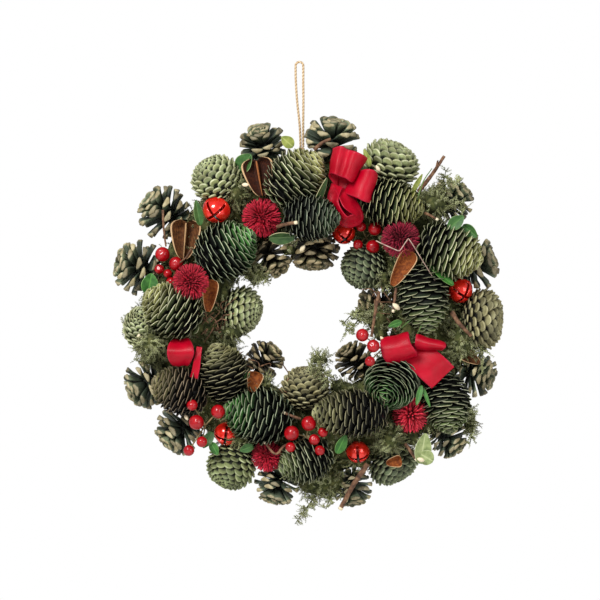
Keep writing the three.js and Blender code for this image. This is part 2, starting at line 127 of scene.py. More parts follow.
def start_tree(name, **sockets):
    """An empty tree for a modifier, with a geometry in and out, and its inputs' names by kind."""
    tree = bpy.data.node_groups.new(name, "GeometryNodeTree")
    for way in ("INPUT", "OUTPUT"):
        tree.interface.new_socket("Geometry", in_out=way, socket_type="NodeSocketGeometry")
    for kind, names in sockets.items():
        for socket in names.split(", "):
            tree.interface.new_socket(socket, in_out="INPUT", socket_type="NodeSocket" + kind)
    return tree, add(tree, "NodeGroupInput").outputs, add(tree, "NodeGroupOutput")


def end_tree(tree, result, grown, finish):
    """Makes what has grown real, gives it its finish and sends it out of the tree."""
    real = add(tree, "GeometryNodeRealizeInstances", {"Geometry": grown})
    finished = add(tree, "GeometryNodeSetMaterial", {"Geometry": real, "Material": finish})
    tree.links.new(finished.outputs[0], result.inputs[0])
    return tree


def new_object(name, data):
    """An object in the scene, at the origin."""
    made = bpy.data.objects.new(name, data)
    bpy.context.scene.collection.objects.link(made)
    return made


def applied(obj):
    """Turns an object's modifiers into its mesh."""
    depsgraph = bpy.context.evaluated_depsgraph_get()
    made = bpy.data.meshes.new_from_object(
        obj.evaluated_get(depsgraph), preserve_all_data_layers=True, depsgraph=depsgraph)
    obj.modifiers.clear()
    obj.data = made
    return obj


def grow(name, tree, values, base):
    """What a tree makes of a base mesh, as an object with a plain mesh and no modifier."""
    seedling = new_object(name, base)
    modifier = seedling.modifiers.new("Grow", "NODES")
    modifier.node_group = tree
    for socket in tree.interface.items_tree:
        if socket.in_out == "INPUT" and socket.name in values:
            modifier[socket.identifier] = values[socket.name]
    applied(seedling).data.shade_smooth()
    return seedling


def loft(rings, **marks):
    """Faces between rings of points, closed at both ends.

    Each mark is a named number for every point, the same shape as the rings.
    """
    rings = np.asarray(rings, float)
    count, sides = rings.shape[:2]
    faces = []
    for a in range(0, (count - 1) * sides, sides):
        b = a + sides
        faces += [(a + j, a + (j + 1) % sides, b + (j + 1) % sides, b + j) for j in range(sides)]
    faces += [tuple(range(sides)), tuple(range((count - 1) * sides, count * sides))]
    flat = {name: np.broadcast_to(value, (count, sides)).ravel() for name, value in marks.items()}
    return rings.reshape(-1, 3), faces, flat


def moved(part, place, turn=None):
    """A part turned about its own origin and moved."""
    points, faces, marks = part
    if turn is not None:
        points = points @ np.array(turn.to_3x3()).T
    return points + np.asarray(place, float), faces, marks


def mark_points(mesh, name, values):
    """Writes a number on each point of a mesh, for trees and finishes to read."""
    attribute = mesh.attributes.new(name, "FLOAT", "POINT")
    attribute.data.foreach_set("value", np.asarray(values, np.float32))


def shape(name, parts, finish=None):
    """A smooth mesh object from parts in millimetres, with its faces outwards."""
    points = np.concatenate([part[0] for part in parts]) * MM
    faces, start = [], 0
    for part in parts:
        faces += [tuple(start + corner for corner in face) for face in part[1]]
        start += len(part[0])
    mesh = bpy.data.meshes.new(name)
    mesh.from_pydata(points.tolist(), [], faces)
    for mark in sorted({key for part in parts for key in part[2]}):
        values = [part[2].get(mark, np.zeros(len(part[0]))) for part in parts]
        mark_points(mesh, mark, np.concatenate(values))
    skin = bmesh.new()
    skin.from_mesh(mesh)
    bmesh.ops.recalc_face_normals(skin, faces=skin.faces)
    skin.to_mesh(mesh)
    skin.free()
    mesh.shade_smooth()
    if finish:
        mesh.materials.append(finish)
    return new_object(name, mesh)


def steps_of(path):
    """The length of each step of a path."""
    return np.linalg.norm(np.diff(path, axis=0), axis=1)


def length_of(path):
    return float(steps_of(path).sum())


def run_along(path):
    """How far along a path each of its points lies."""
    return np.concatenate([[0], np.cumsum(steps_of(path))])


def curve_through(points, count):
    """Points on a smooth curve through the given ones, evenly spread."""
    points = np.asarray(points, float)
    ends = [2 * points[0] - points[1], *points, 2 * points[-1] - points[-2]]
    fine = []
    for a, b, c, d in zip(ends, ends[1:], ends[2:], ends[3:]):
        t = np.linspace(0, 1, 24, endpoint=False)[:, None]
        fine.append(0.5 * (2 * b + (c - a) * t + (2 * a - 5 * b + 4 * c - d) * t ** 2
                           + (3 * b - a - 3 * c + d) * t ** 3))
    fine = np.concatenate([*fine, points[-1:]])
    run = run_along(fine)
    wanted = np.linspace(0, run[-1], count)
    return np.stack([np.interp(wanted, run, fine[:, k]) for k in range(fine.shape[1])], 1)


def ring_curve(places, count):
    """A smooth curve through [x, depth, z] places on the ring."""
    return curve_through([RING_CENTRE + place for place in places], count)


def angles_round(count):
    """So many angles, evenly spread over a full turn."""
    return np.linspace(0, FULL_TURN, count, endpoint=False)


def frames_along(path):
    """For each point of a path, two directions square to it that turn as little as they can."""
    ahead = np.gradient(path, axis=0)
    ahead /= np.linalg.norm(ahead, axis=1)[:, None]
    side = np.cross(ahead[0], [0.31, 0.87, 0.38])
    sides = []
    for way in ahead:
        side = side - way * (side @ way)
        side = side / np.linalg.norm(side)
        sides.append(side)
    sides = np.array(sides)
    return sides, np.cross(ahead, sides)


def tube(path, radii, sides, strand=None, **marks):
    """A round rod along a path. A strand is the share of its radius at each angle and point."""
    path = np.asarray(path, float)
    across, up = frames_along(path)
    angles = angles_round(sides)
    radii = np.broadcast_to(np.asarray(radii, float), len(path))[:, None] * np.ones(sides)
    if strand is not None:
        radii = radii * strand
    rings = (path[:, None] + across[:, None] * (radii * np.cos(angles))[..., None]
             + up[:, None] * (radii * np.sin(angles))[..., None])
    return loft(rings, **marks)


def turned(outline, sides, **marks):
    """A body turned on a lathe about its own Z, from (radius, height) pairs off the axis."""
    angles = angles_round(sides)
    rings = [[(r * math.cos(a), r * math.sin(a), h) for a in angles] for r, h in outline]
    return loft(rings, **{name: np.reshape(value, (-1, 1)) for name, value in marks.items()})


def direction(heading, tilt):
    """A heading in the plane of the ring, leaned towards the front."""
    h, t = math.radians(heading), math.radians(tilt)
    return Vector((math.cos(h) * math.cos(t), -math.sin(t), math.sin(h) * math.cos(t)))


def turn_to(heading, tilt, roll=0.0):
    """The turn that takes +Z to a heading and tilt, after a roll about +Z."""
    way = direction(heading, tilt).to_track_quat("Z", "Y").to_matrix().to_4x4()
    return way @ Matrix.Rotation(math.radians(roll), 4, "Z")


def place_of(node):
    """The middle of a solid's box, in millimetres."""
    low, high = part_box(node)
    return np.array((low + high) / 2) / MM


def seat(obj, node):
    """Moves a mesh so that its box is centred where the solid's box is."""
    corners = np.array([v.co for v in obj.data.vertices])
    middle = (corners.min(0) + corners.max(0)) / 2
    obj.data.transform(Matrix.Translation(Vector(place_of(node) * MM - middle)))


def put(obj, place):
    """Moves a mesh to an [x, depth, z] place on the ring."""
    obj.data.transform(Matrix.Translation(Vector((RING_CENTRE + place) * MM)))


def wear(obj, slot, *nodes):
    """The piece rides on the wreath's one body, in place of those solids."""
    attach(obj, BODY)
    if nodes:
        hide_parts(*nodes)
    return obj


# ------------------------------------------------------------------ camera and light
VIEW_DISTANCE = 2200.0  # a long lens, level with the middle of the picture
FRONT_LAYER = -45.0  # the cones' middles, where the picture is 558 mm wide
PICTURE_WIDTH = 558.0
PICTURE_CENTRE = (0.5, -224.8)
FLOOR = 2400.0  # from its middle to its edges
FLOOR_LEVEL = -900.0  # its height


def set_camera():
    lens = bpy.data.cameras.new("camera")
    lens.sensor_width = 36.0
    lens.lens = lens.sensor_width * (VIEW_DISTANCE + FRONT_LAYER) / PICTURE_WIDTH
    camera = new_object("camera", lens)
    x, z = PICTURE_CENTRE
    camera.location = Vector((x, -VIEW_DISTANCE, z)) * MM
    camera.rotation_euler = (math.pi / 2, 0, 0)
    bpy.context.scene.camera = camera


def add_lamp(name, place, size, power):
    """A soft square lamp that looks at the middle of the ring."""
    light = bpy.data.lights.new(name, "AREA")
    light.size = size
    light.energy = power
    lamp = new_object(name, light)
    lamp.location = place
    aim = Vector(RING_CENTRE * MM) - Vector(place)
    lamp.rotation_euler = aim.to_track_quat("-Z", "Y").to_euler()


def set_studio():
    """A white room, a soft lamp at the upper left, a weak one at the right, and a pale floor."""
    scene = bpy.context.scene
    scene.view_settings.view_transform = "Standard"
    world = bpy.data.worlds.new("studio")
    scene.world = world
    world.use_nodes = True
    tree = world.node_tree
    tree.nodes.clear()
    seen = add(tree, "ShaderNodeLightPath").outputs["Is Camera Ray"]
    wall = add(tree, "ShaderNodeBackground", {"Color": (1, 1, 1, 1), "Strength": 1.0})
    glow = add(tree, "ShaderNodeBackground", {"Color": (0.96, 0.98, 1, 1), "Strength": 0.4})
    room = add(tree, "ShaderNodeMixShader", {0: seen, 1: glow, 2: wall})
    add(tree, "ShaderNodeOutputWorld", {"Surface": room})
    add_lamp("key", (-0.9, -1.6, 0.85), 0.7, 46.0)
    add_lamp("fill", (1.3, -1.5, 0.1), 1.0, 12.0)
    # Paper from a roll, matt and nearly white.
    pale = start_finish("floor_paper", {"Base Color": linear("#f4f4f2")})[0]
    corners = [(-FLOOR, -FLOOR), (FLOOR, -FLOOR), (FLOOR, FLOOR), (-FLOOR, FLOOR)]
    levels = [[(x, y, FLOOR_LEVEL - thick) for x, y in corners] for thick in (5, 0)]
    floor = shape("floor", [loft(levels)], pale)
    floor.data.shade_flat()


# ------------------------------------------------------------------ materials
def start_finish(name, sockets, *marks):
    """A material with numbers on the shader's own sockets, its tree, and the mesh's marks."""
    finish = bpy.data.materials.new(name)
    finish.use_nodes = True
    tree = finish.node_tree
    for socket, value in sockets.items():
        tree.nodes["Principled BSDF"].inputs[socket].default_value = value
    readers = [add(tree, "ShaderNodeAttribute", attribute_name=mark) for mark in marks]
    return finish, tree, *[reader.outputs["Fac"] for reader in readers]


def end_finish(finish, colour, height=None, depth=0.0):
    """Gives a material its colour, and a bump from a height, so many millimetres deep."""
    tree = finish.node_tree
    shader = tree.nodes["Principled BSDF"]
    tree.links.new(output_of(colour), shader.inputs["Base Color"])
    if height is not None:
        bump = add(tree, "ShaderNodeBump",
                   {"Height": height, "Distance": depth * MM, "Strength": 1.0})
        tree.links.new(bump.outputs["Normal"], shader.inputs["Normal"])
    return finish


def grain(tree, size, detail=3.0):
    """Noise of that many millimetres in the piece's own coordinates, from 0 to 1."""
    where = add(tree, "ShaderNodeTexCoord").outputs["Object"]
    return add(tree, "ShaderNodeTexNoise",
               {"Vector": where, "Scale": 1 / (size * MM), "Detail": detail})


def cone_finish(name, deep, body, edge, tip, stops=(0.3, 0.62, 0.8, 0.88), dull="#909090",
                gloss=0.55):
    """Pine cone, grown and then dipped in green dye: the rims of its scales show the wood.

    Where the scales meet, shade is painted in: each scale is dark where it lies under the next.
    The tip's young scales take the dye brighter. The stops are how far out on a scale the
    painted shade ends, the body colour starts and ends, and the rim starts.
    """
    finish, tree, rim, along, tone = start_finish(
        name, {"Roughness": gloss, "IOR": 1.45}, "rim", "along", "tone")
    wear_off = add(tree, MATH, {0: grain(tree, 2.5), 1: 0.24, 2: -0.12}, operation="MULTIPLY_ADD")
    worn = add(tree, MATH, {0: rim, 1: wear_off}, operation="ADD")
    # The deep colour at the low end of both ramps is painted shade, where a scale is tucked under the
    # next.
    old = add(tree, RAMP, {0: worn}, list(zip(stops, (deep, body, body, edge))))
    tender = add(tree, RAMP, {0: worn}, [(0.34, deep), (0.6, tip), (0.8, tip), (0.92, edge)])
    young = add(tree, RAMP, {0: along}, [(0.45, BLACK), (0.82, WHITE)])
    light = add(tree, RAMP, {0: tone}, [(0.0, dull), (1.0, WHITE)])
    blotch = add(tree, RAMP, {0: grain(tree, 7.0)}, [(0.35, "#ccc6b6"), (0.65, WHITE)])
    dyed = add(tree, MIX, {0: young, 6: old, 7: tender}, **BLENDED)
    toned = add(tree, MIX, {0: 1.0, 6: dyed, 7: light}, **DARKENED)
    blotched = add(tree, MIX, {0: 1.0, 6: toned, 7: blotch}, **DARKENED)
    return end_finish(finish, blotched, grain(tree, 0.7, 4.0), 0.25)


def plain_finish(name, colours, size, sockets, bump=0.2, fine=0.8, detail=4.0):
    """A finish whose colour wanders between a few shades over that many millimetres."""
    finish, tree = start_finish(name, sockets)
    stops = list(zip(np.linspace(0.3, 0.7, len(colours)), colours))
    colour = add(tree, RAMP, {0: grain(tree, size)}, stops)
    return end_finish(finish, colour, grain(tree, fine, detail), bump)


def toned_finish(name, low, high, tip, roughness, size):
    """A finish for many small blades: each has its own tone, and pales towards its end. Noise of that
    many millimetres darkens it in patches, as painted shade.
    """
    finish, tree, tone, rim = start_finish(name, {"Roughness": roughness}, "tone", "rim")
    base = add(tree, MIX, {0: tone, 6: low, 7: high}, **BLENDED)
    ended = add(tree, MIX, {0: rim, 6: base, 7: tip}, **BLENDED)
    # Painted shade, in patches of noise.
    shade = add(tree, RAMP, {0: grain(tree, size)}, [(0.35, "#a8a49a"), (0.65, WHITE)])
    shaded = add(tree, MIX, {0: 1.0, 6: ended, 7: shade}, **DARKENED)
    return end_finish(finish, shaded)


# ------------------------------------------------------------------ the twine
TWINE = 2.4
TWIST = 6.5  # how far along the twine one of its plies goes once round
TWINE_STEP = 1.0  # between the rings of points that draw it
TWINE_SIDES = 12
LOOP_RADIUS = 3.6  # of its bend over the hook
# The loop's route from the hook, as [x, z]: up the left strand and down the right one.
LOOP_LEFT = [
    [1.0, -79.4], [0.9, -74], [0.6, -66], [0.1, -58], [-0.7, -50], [-1.8, -40], [-2.7, -30],
    [-3.3, -20], [-3.6, -11], [-3.6, -2.4],
]
LOOP_RIGHT = [
    [3.6, -2.4], [3.6, -11], [3.6, -20], [3.7, -30], [3.7, -40], [3.6, -50], [3.5, -58],
    [3.5, -66], [3.5, -74], [3.6, -79.4],
]


def jute_finish():
    """Jute twine, spun and laid in two plies: pale tan and dull, with painted shade in the lay
    between the plies.
    """
    finish, tree, rim = start_finish("jute_twine", {"Roughness": 0.9, "Sheen Weight": 0.2}, "rim")
    streak = grain(tree, 0.9, 5.0)
    straw = add(tree, RAMP, {0: streak}, [(0.3, "#b08d62"), (0.5, "#d3b68c"), (0.7, "#ecdcbb")])
    # Painted shade: the groove between the plies is darkened.
    lay = add(tree, RAMP, {0: rim}, [(0.1, "#8a6a48"), (0.7, WHITE)])
    laid = add(tree, MIX, {0: 1.0, 6: straw, 7: lay}, **DARKENED)
    return end_finish(finish, laid, streak, 0.2)


def laid_twine(path, diameter=TWINE):
    """Two plies laid round each other along a path, as one rod with a groove on each side."""
    lay = run_along(path) * FULL_TURN / TWIST
    ply = np.abs(np.cos(angles_round(TWINE_SIDES)[None] - lay[:, None]))
    return tube(path, diameter / 2, TWINE_SIDES, strand=0.72 + 0.28 * ply, rim=ply)


def loop_route():
    """The loop's route: up its left strand, round over the hook and down its right strand."""
    bend = [[LOOP_RADIUS * math.cos(a), LOOP_RADIUS * math.sin(a) - TWINE]
            for a in np.radians([150, 120, 90, 60, 30])]
    return np.array([[x, 0.0, z] for x, z in [*LOOP_LEFT, *bend, *LOOP_RIGHT]])


def make_loop(jute):
    route = loop_route()
    path = curve_through(route, int(length_of(route) / TWINE_STEP))
    loop = shape("twine_loop", [laid_twine(path)], jute)
    wear(loop, "twine", "hanging_loop")


# ------------------------------------------------------------------ trees that grow things
def cone_tree():
    """Scales set round an axis in the order that a cone grows them, each a golden angle on.

    Where they are crowded, the steps along the axis shrink with the girth, so that the pattern
    is the same at every size. Where they are even, each scale has as much room as the next.
    """
    tree, given, result = start_tree(
        "cone_growth", Object="Scale", Int="Scales, Seed", Material="Finish",
        Float="Length, Radius, Lean, Spread, Shift, Evenness, Smallest, Lift at butt, "
              "Lift at tip, Unevenness, Size")
    index = add(tree, "GeometryNodeInputIndex")
    half = add(tree, MATH, {0: index, 1: 0.5}, operation="ADD")
    share = add(tree, MATH, {0: half, 1: given["Scales"]}, operation="DIVIDE")
    signed = add(tree, MATH, {0: share, 1: 2.0, 2: -1.0}, operation="MULTIPLY_ADD")
    reach = add(tree, MATH, {0: signed, 1: given["Spread"], 2: given["Shift"]},
                operation="MULTIPLY_ADD")
    grown = add(tree, MATH, {0: reach}, operation="EXPONENT")
    half_polar = add(tree, MATH, {0: grown}, operation="ARCTANGENT")
    crowded = add(tree, MATH, {0: half_polar, 1: 2.0}, operation="MULTIPLY")
    against = add(tree, MATH, {0: signed, 1: -1.0}, operation="MULTIPLY")
    even = add(tree, MATH, {0: against}, operation="ARCCOSINE")
    polar = add(tree, MIX, {0: given["Evenness"], 2: crowded, 3: even})
    swell = add(tree, MATH, {0: polar}, operation="SINE")
    slope = add(tree, MATH, {0: polar}, operation="COSINE")
    height = add(tree, MATH, {0: slope, 1: -0.5, 2: 0.5}, operation="MULTIPLY_ADD")
    along = add(tree, MATH, {0: height, 1: given["Lean"]}, operation="POWER")

    angle = add(tree, MATH, {0: index, 1: GOLDEN_ANGLE}, operation="MULTIPLY")
    cosine = add(tree, MATH, {0: angle}, operation="COSINE")
    sine = add(tree, MATH, {0: angle}, operation="SINE")
    minus_sine = add(tree, MATH, {0: sine, 1: -1.0}, operation="MULTIPLY")
    outwards = add(tree, "ShaderNodeCombineXYZ", {0: cosine, 1: sine})
    around = add(tree, "ShaderNodeCombineXYZ", {0: minus_sine, 1: cosine})

    radius = add(tree, MATH, {0: swell, 1: given["Radius"]}, operation="MULTIPLY")
    from_axis = add(tree, VECTORS, {0: outwards, 3: radius}, operation="SCALE")
    centred = add(tree, MATH, {0: along, 1: 0.5}, operation="SUBTRACT")
    level = add(tree, MATH, {0: centred, 1: given["Length"]}, operation="MULTIPLY")
    lifted = add(tree, "ShaderNodeCombineXYZ", {2: level})
    place = add(tree, VECTORS, {0: from_axis, 1: lifted}, operation="ADD")

    # The way up the cone's own surface, from how fast its radius and its height grow there.
    widening = add(tree, MATH, {0: slope, 1: given["Radius"]}, operation="MULTIPLY")
    less_one = add(tree, MATH, {0: given["Lean"], 1: 1.0}, operation="SUBTRACT")
    ease = add(tree, MATH, {0: height, 1: less_one}, operation="POWER")
    steep = add(tree, MATH, {0: swell, 1: ease}, operation="MULTIPLY")
    half_length = add(tree, MATH, {0: given["Length"], 1: 0.5}, operation="MULTIPLY")
    leaned = add(tree, MATH, {0: half_length, 1: given["Lean"]}, operation="MULTIPLY")
    rising = add(tree, MATH, {0: steep, 1: leaned}, operation="MULTIPLY")
    wide_part = add(tree, VECTORS, {0: outwards, 3: widening}, operation="SCALE")
    high_part = add(tree, "ShaderNodeCombineXYZ", {2: rising})
    uphill = add(tree, VECTORS, {0: wide_part, 1: high_part}, operation="ADD")
    along_skin = add(tree, VECTORS, {0: uphill}, operation="NORMALIZE")
    off_skin = add(tree, VECTORS, {0: around, 1: along_skin}, operation="CROSS_PRODUCT")

    more = add(tree, MATH, {0: given["Lift at tip"], 1: given["Lift at butt"]},
               operation="SUBTRACT")
    lift = add(tree, MATH, {0: along, 1: more, 2: given["Lift at butt"]},
               operation="MULTIPLY_ADD")
    lift_cosine = add(tree, MATH, {0: lift}, operation="COSINE")
    lift_sine = add(tree, MATH, {0: lift}, operation="SINE")
    flat_part = add(tree, VECTORS, {0: along_skin, 3: lift_cosine}, operation="SCALE")
    proud_part = add(tree, VECTORS, {0: off_skin, 3: lift_sine}, operation="SCALE")
    pointing = add(tree, VECTORS, {0: flat_part, 1: proud_part}, operation="ADD")
    wobble = add(tree, RANDOM, {**EVERY_WAY, 8: given["Seed"]}, data_type="FLOAT_VECTOR")
    swayed = add(tree, VECTORS, {0: wobble, 3: given["Unevenness"]}, operation="SCALE")
    uneven = add(tree, VECTORS, {0: pointing, 1: swayed}, operation="ADD")
    turn = add(tree, "FunctionNodeAxesToRotation", {0: uneven, 1: around},
               primary_axis="Y", secondary_axis="X")
    share_of_size = add(tree, MATH, {0: swell, 1: given["Smallest"]}, operation="MAXIMUM")
    size = add(tree, MATH, {0: share_of_size, 1: given["Size"]}, operation="MULTIPLY")
    tone = add(tree, RANDOM, {8: given["Seed"]}, data_type="FLOAT")

    points = add(tree, "GeometryNodePoints", {"Count": given["Scales"], "Position": place})
    with_tone = add(tree, STORE, {"Geometry": points, "Name": "tone", "Value": tone})
    with_along = add(tree, STORE, {"Geometry": with_tone, "Name": "along", "Value": along})
    scale = add(tree, "GeometryNodeObjectInfo", {"Object": given["Scale"]}).outputs["Geometry"]
    scales = add(tree, "GeometryNodeInstanceOnPoints",
                 {"Points": with_along, "Instance": scale, "Rotation": turn, "Scale": size})
    joined = add(tree, "GeometryNodeJoinGeometry", {0: scales})
    tree.links.new(given["Geometry"], joined.inputs[0])
    return end_tree(tree, result, joined, given["Finish"])


def knobbly(tree, surface, height, size):
    """Pushes a surface in and out along its normals, by noise of that height and size."""
    scale = add(tree, MATH, {0: 1.0, 1: size}, operation="DIVIDE")
    noise = add(tree, "ShaderNodeTexNoise", {"Scale": scale, "Detail": 2.0})
    signed = add(tree, MATH, {0: noise, 1: 0.5}, operation="SUBTRACT")
    amount = add(tree, MATH, {0: signed, 1: height}, operation="MULTIPLY")
    normal = add(tree, "GeometryNodeInputNormal")
    push = add(tree, VECTORS, {0: normal, 3: amount}, operation="SCALE")
    return add(tree, "GeometryNodeSetPosition", {"Geometry": surface, "Offset": push})


def scatter_tree():
    """Small plants strewn over a surface, thick where the surface's own lush mark is high."""
    tree, given, result = start_tree(
        "strewn_growth", Collection="Plants", Int="Seed", Material="Finish, Ground",
        Bool="Keep ground", Float="Density, Smallest, Largest, Sway, Droop, Knobs, Knob size")
    rough = knobbly(tree, given["Geometry"], given["Knobs"], given["Knob size"])
    lush = add(tree, "GeometryNodeInputNamedAttribute", {"Name": "lush"}, data_type="FLOAT")
    density = add(tree, MATH, {0: lush, 1: given["Density"]}, operation="MULTIPLY")
    strewn = add(tree, "GeometryNodeDistributePointsOnFaces",
                 {"Mesh": rough, "Density": density, "Seed": given["Seed"]})
    wobble = add(tree, RANDOM, {**EVERY_WAY, 8: given["Seed"]}, data_type="FLOAT_VECTOR")
    swayed = add(tree, VECTORS, {0: wobble, 3: given["Sway"]}, operation="SCALE")
    leaning = add(tree, VECTORS, {0: strewn.outputs["Normal"], 1: swayed}, operation="ADD")
    down = add(tree, "ShaderNodeCombineXYZ", {2: given["Droop"]})
    hanging = add(tree, VECTORS, {0: leaning, 1: down}, operation="ADD")
    spin = add(tree, RANDOM, {**EVERY_WAY, 8: 77}, data_type="FLOAT_VECTOR")
    turn = add(tree, "FunctionNodeAxesToRotation", {0: hanging, 1: spin},
               primary_axis="Y", secondary_axis="X")
    size = add(tree, RANDOM, {2: given["Smallest"], 3: given["Largest"], 8: given["Seed"]},
               data_type="FLOAT")
    tone = add(tree, RANDOM, {8: 5}, data_type="FLOAT")
    toned = add(tree, STORE, {"Geometry": strewn, "Name": "tone", "Value": tone})
    kinds = add(tree, "GeometryNodeCollectionInfo",
                {"Collection": given["Plants"], "Separate Children": True,
                 "Reset Children": True})
    plants = add(tree, "GeometryNodeInstanceOnPoints",
                 {"Points": toned, "Instance": kinds, "Pick Instance": True, "Rotation": turn,
                  "Scale": size})
    real = add(tree, "GeometryNodeRealizeInstances", {"Geometry": plants})
    green = add(tree, "GeometryNodeSetMaterial", {"Geometry": real, "Material": given["Finish"]})
    ground = add(tree, "GeometryNodeSetMaterial",
                 {"Geometry": rough, "Material": given["Ground"]})
    kept = add(tree, "GeometryNodeSwitch", {"Switch": given["Keep ground"], "True": ground},
               input_type="GEOMETRY")
    joined = add(tree, "GeometryNodeJoinGeometry", {0: green})
    tree.links.new(kept.outputs[0], joined.inputs[0])
    tree.links.new(joined.outputs[0], result.inputs[0])
    return tree


def rod_tree():
    """Round rods along the edges of a mesh, as thick as its girth mark, with knobbly bark."""
    tree, given, result = start_tree(
        "rod_growth", Int="Sides", Float="Step, Knobs, Knob size", Material="Finish")
    girth = add(tree, "GeometryNodeInputNamedAttribute", {"Name": "girth"}, data_type="FLOAT")
    lines = add(tree, "GeometryNodeMeshToCurve", {"Mesh": given["Geometry"]})
    evened = add(tree, "GeometryNodeResampleCurve",
                 {"Curve": lines, "Length": given["Step"]}, mode="LENGTH")
    section = add(tree, "GeometryNodeCurvePrimitiveCircle",
                  {"Resolution": given["Sides"], "Radius": 1.0})
    rods = add(tree, "GeometryNodeCurveToMesh",
               {"Curve": evened, "Profile Curve": section, "Scale": girth, "Fill Caps": True})
    rough = knobbly(tree, rods, given["Knobs"], given["Knob size"])
    return end_tree(tree, result, rough, given["Finish"])


# ------------------------------------------------------------------ scales
def fan_scale(name, width, reach, thick, cup, lip, sweep):
    """A thin scale with a round front. It bends round the cone, and its front curls out.

    The sweep is how far the ends of its front lie back, as a share of its width.
    """
    # From its root to its front: how far out, the rim mark and the share of the lip.
    rows = [(0.22, 0.0, 0.0), (0.66, 0.35, 0.0), (0.89, 0.7, 0.4), (1.0, 1.0, 1.0)]
    arc = np.radians(np.linspace(-95, 95, 9))
    columns, rims = [], []
    for a in arc:
        x, y = width / 2 * math.sin(a), reach - width * sweep * (1 - math.cos(a))
        fade = 1 - 0.15 * abs(math.sin(a)) ** 4
        bend = -cup * math.sin(a) ** 2
        top = [(x * f, y * f, bend * f * f + lip * curl) for f, _, curl in rows]
        under = [(x, y, bend + lip - thick * 0.6), (x * 0.22, y * 0.22, -thick)]
        columns.append(top + under)
        rims.append([rim * fade for _, rim, _ in rows] + [0.85 * fade, 0.0])
    return shape(name, [loft(columns, rim=np.array(rims))])


def finger_scale(name, reach, width, thick):
    """An open cone's scale: a thin neck that widens to a thick, ridged, blunt end."""
    # Along it: how far, its width and its thickness as shares, and the rim mark.
    stations = [(0.0, 0.4, 0.4, 0.0), (0.35, 0.68, 0.45, 0.25), (0.65, 0.92, 0.5, 0.45),
                (0.86, 1.0, 0.8, 0.68), (0.96, 0.9, 0.95, 0.9), (1.0, 0.68, 0.6, 1.0)]
    angles = np.radians([0, 40, 90, 140, 180, 220, 270, 320])
    rings, rims = [], []
    for y, w, t, rim in stations:
        rings.append([(width / 2 * w * math.cos(a), reach * y - 0.06 * reach * math.cos(a) ** 2,
                       thick / 2 * t * math.sin(a) * (1.35 if math.sin(a) > 0.9 else 1.0)
                       - 0.10 * width * w * math.cos(a) ** 2) for a in angles])
        rims.append([rim] * len(angles))
    return shape(name, [loft(rings, rim=np.array(rims))])


def spike(name, reach, width, blunt):
    """A bristle or a narrow petal that looks along +Y."""
    stations = [(0.0, 0.7), (0.55, 1.0), (0.85, 0.75), (1.0, blunt)]
    rings = [[(width / 2 * w * math.cos(a), reach * y, width / 2 * w * 0.7 * math.sin(a))
              for a in np.radians([0, 90, 180, 270])] for y, w in stations]
    rims = np.array([[0.0], [0.4], [0.8], [1.0]])
    return shape(name, [loft(rings, rim=rims)])


# ------------------------------------------------------------------ cones
class Kind:
    """How a kind of cone grows. Sizes are shares of the cone's own length and girth."""

    def __init__(self, inner, span, fullest, lifts, girth=42.0, **inputs):
        self.inner, self.span = inner, span  # radius and length of the body under the scales
        self.girth = girth  # of a cone whose scales are as large as they are drawn
        self.lean = math.log(fullest) / math.log(0.5)
        butt, tip = lifts
        self.inputs = {"Lean": self.lean, "Lift at butt": math.radians(butt),
                       "Lift at tip": math.radians(tip), "Shift": 0.0, "Evenness": 0.0, **inputs}


def core_mesh(name, kind, length, girth):
    """The dark spindle that the scales grow from: its rim mark is nought except at the tip, so on a
    cone it is the painted shade that shows between the scales.
    """
    outline, alongs = [], []
    for step in [*range(1, 12), 11.7]:
        polar = math.pi * step / 12
        along = ((1 - math.cos(polar)) / 2) ** kind.lean
        radius = girth / 2 * kind.inner * math.sin(polar)
        outline.append((max(radius, 0.3), (along - 0.5) * length * kind.span))
        alongs.append(along)
    is_tip = np.array(alongs) > 0.93
    core = shape(name, [turned(outline, 16, along=alongs, rim=0.7 * is_tip, tone=1.0 * is_tip)])
    mesh = core.data
    bpy.data.objects.remove(core)
    return mesh


def grow_cone(name, kind, scale, finish, length, girth, heading, tilt, seed):
    """A cone of a kind, with its butt behind and its tip along a heading."""
    cone = grow(name, TREES["cone"], {
        **kind.inputs, "Scale": scale, "Length": length * kind.span * MM,
        "Radius": girth / 2 * kind.inner * MM, "Size": girth / kind.girth, "Seed": seed,
        "Finish": finish,
    }, core_mesh(name, kind, length, girth))
    cone.data.transform(turn_to(heading, tilt, roll=seed * 47))
    return cone


LONG = Kind(inner=0.74, span=0.84, fullest=0.40, lifts=(30, 44), Scales=138, Spread=1.9,
            Smallest=0.6, Unevenness=0.10, Shift=0.36, Evenness=0.8)
ROUND = Kind(inner=0.86, span=0.9, fullest=0.46, lifts=(16, 20), Scales=170, Spread=2.2,
             Smallest=0.5, Unevenness=0.08, girth=45.0, Evenness=0.7)
OPEN = Kind(inner=0.24, span=0.56, fullest=0.45, lifts=(80, 46), Scales=62, Spread=1.4,
            Smallest=0.6, Unevenness=0.26)
GROWN = 1.07  # a cone with its scales, over the solid of its body

# Length, girth, heading, tilt and dye of each cone, in the order of the solids.
LONG_CONES = [
    (56, 45, 44, 8, "gold"), (50, 37, 358, 8, "dark"), (56, 39, 349, 10, "yellow"),
    (58, 46, 339, 8, "gold"), (62, 41, 278, 5, "pale"), (56, 45, 32, 10, "bright"),
    (54, 43, 148, 10, "gold"), (54, 39, 108, 10, "khaki"), (50, 39, 161, 10, "umber"),
    (61, 44, 168, 10, "bright"), (48, 37, 201, 10, "pale"), (46, 41, 239, 50, "bright"),
    (68, 38, 179, 5, "khaki"), (52, 39, 275, 15, "pale"),
]
ROUND_CONES = [
    (42, 44, 125, 14, "sage"), (38, 50, 62, 10, "sage"), (36, 42, 340, 14, "sage"),
    (40, 40, 221, 10, "dusk"), (36, 52, 358, 10, "husk"), (40, 43, 243, 16, "moss"),
    (38, 42, 86, 14, "husk"), (32, 44, 299, 10, "dusk"),
]
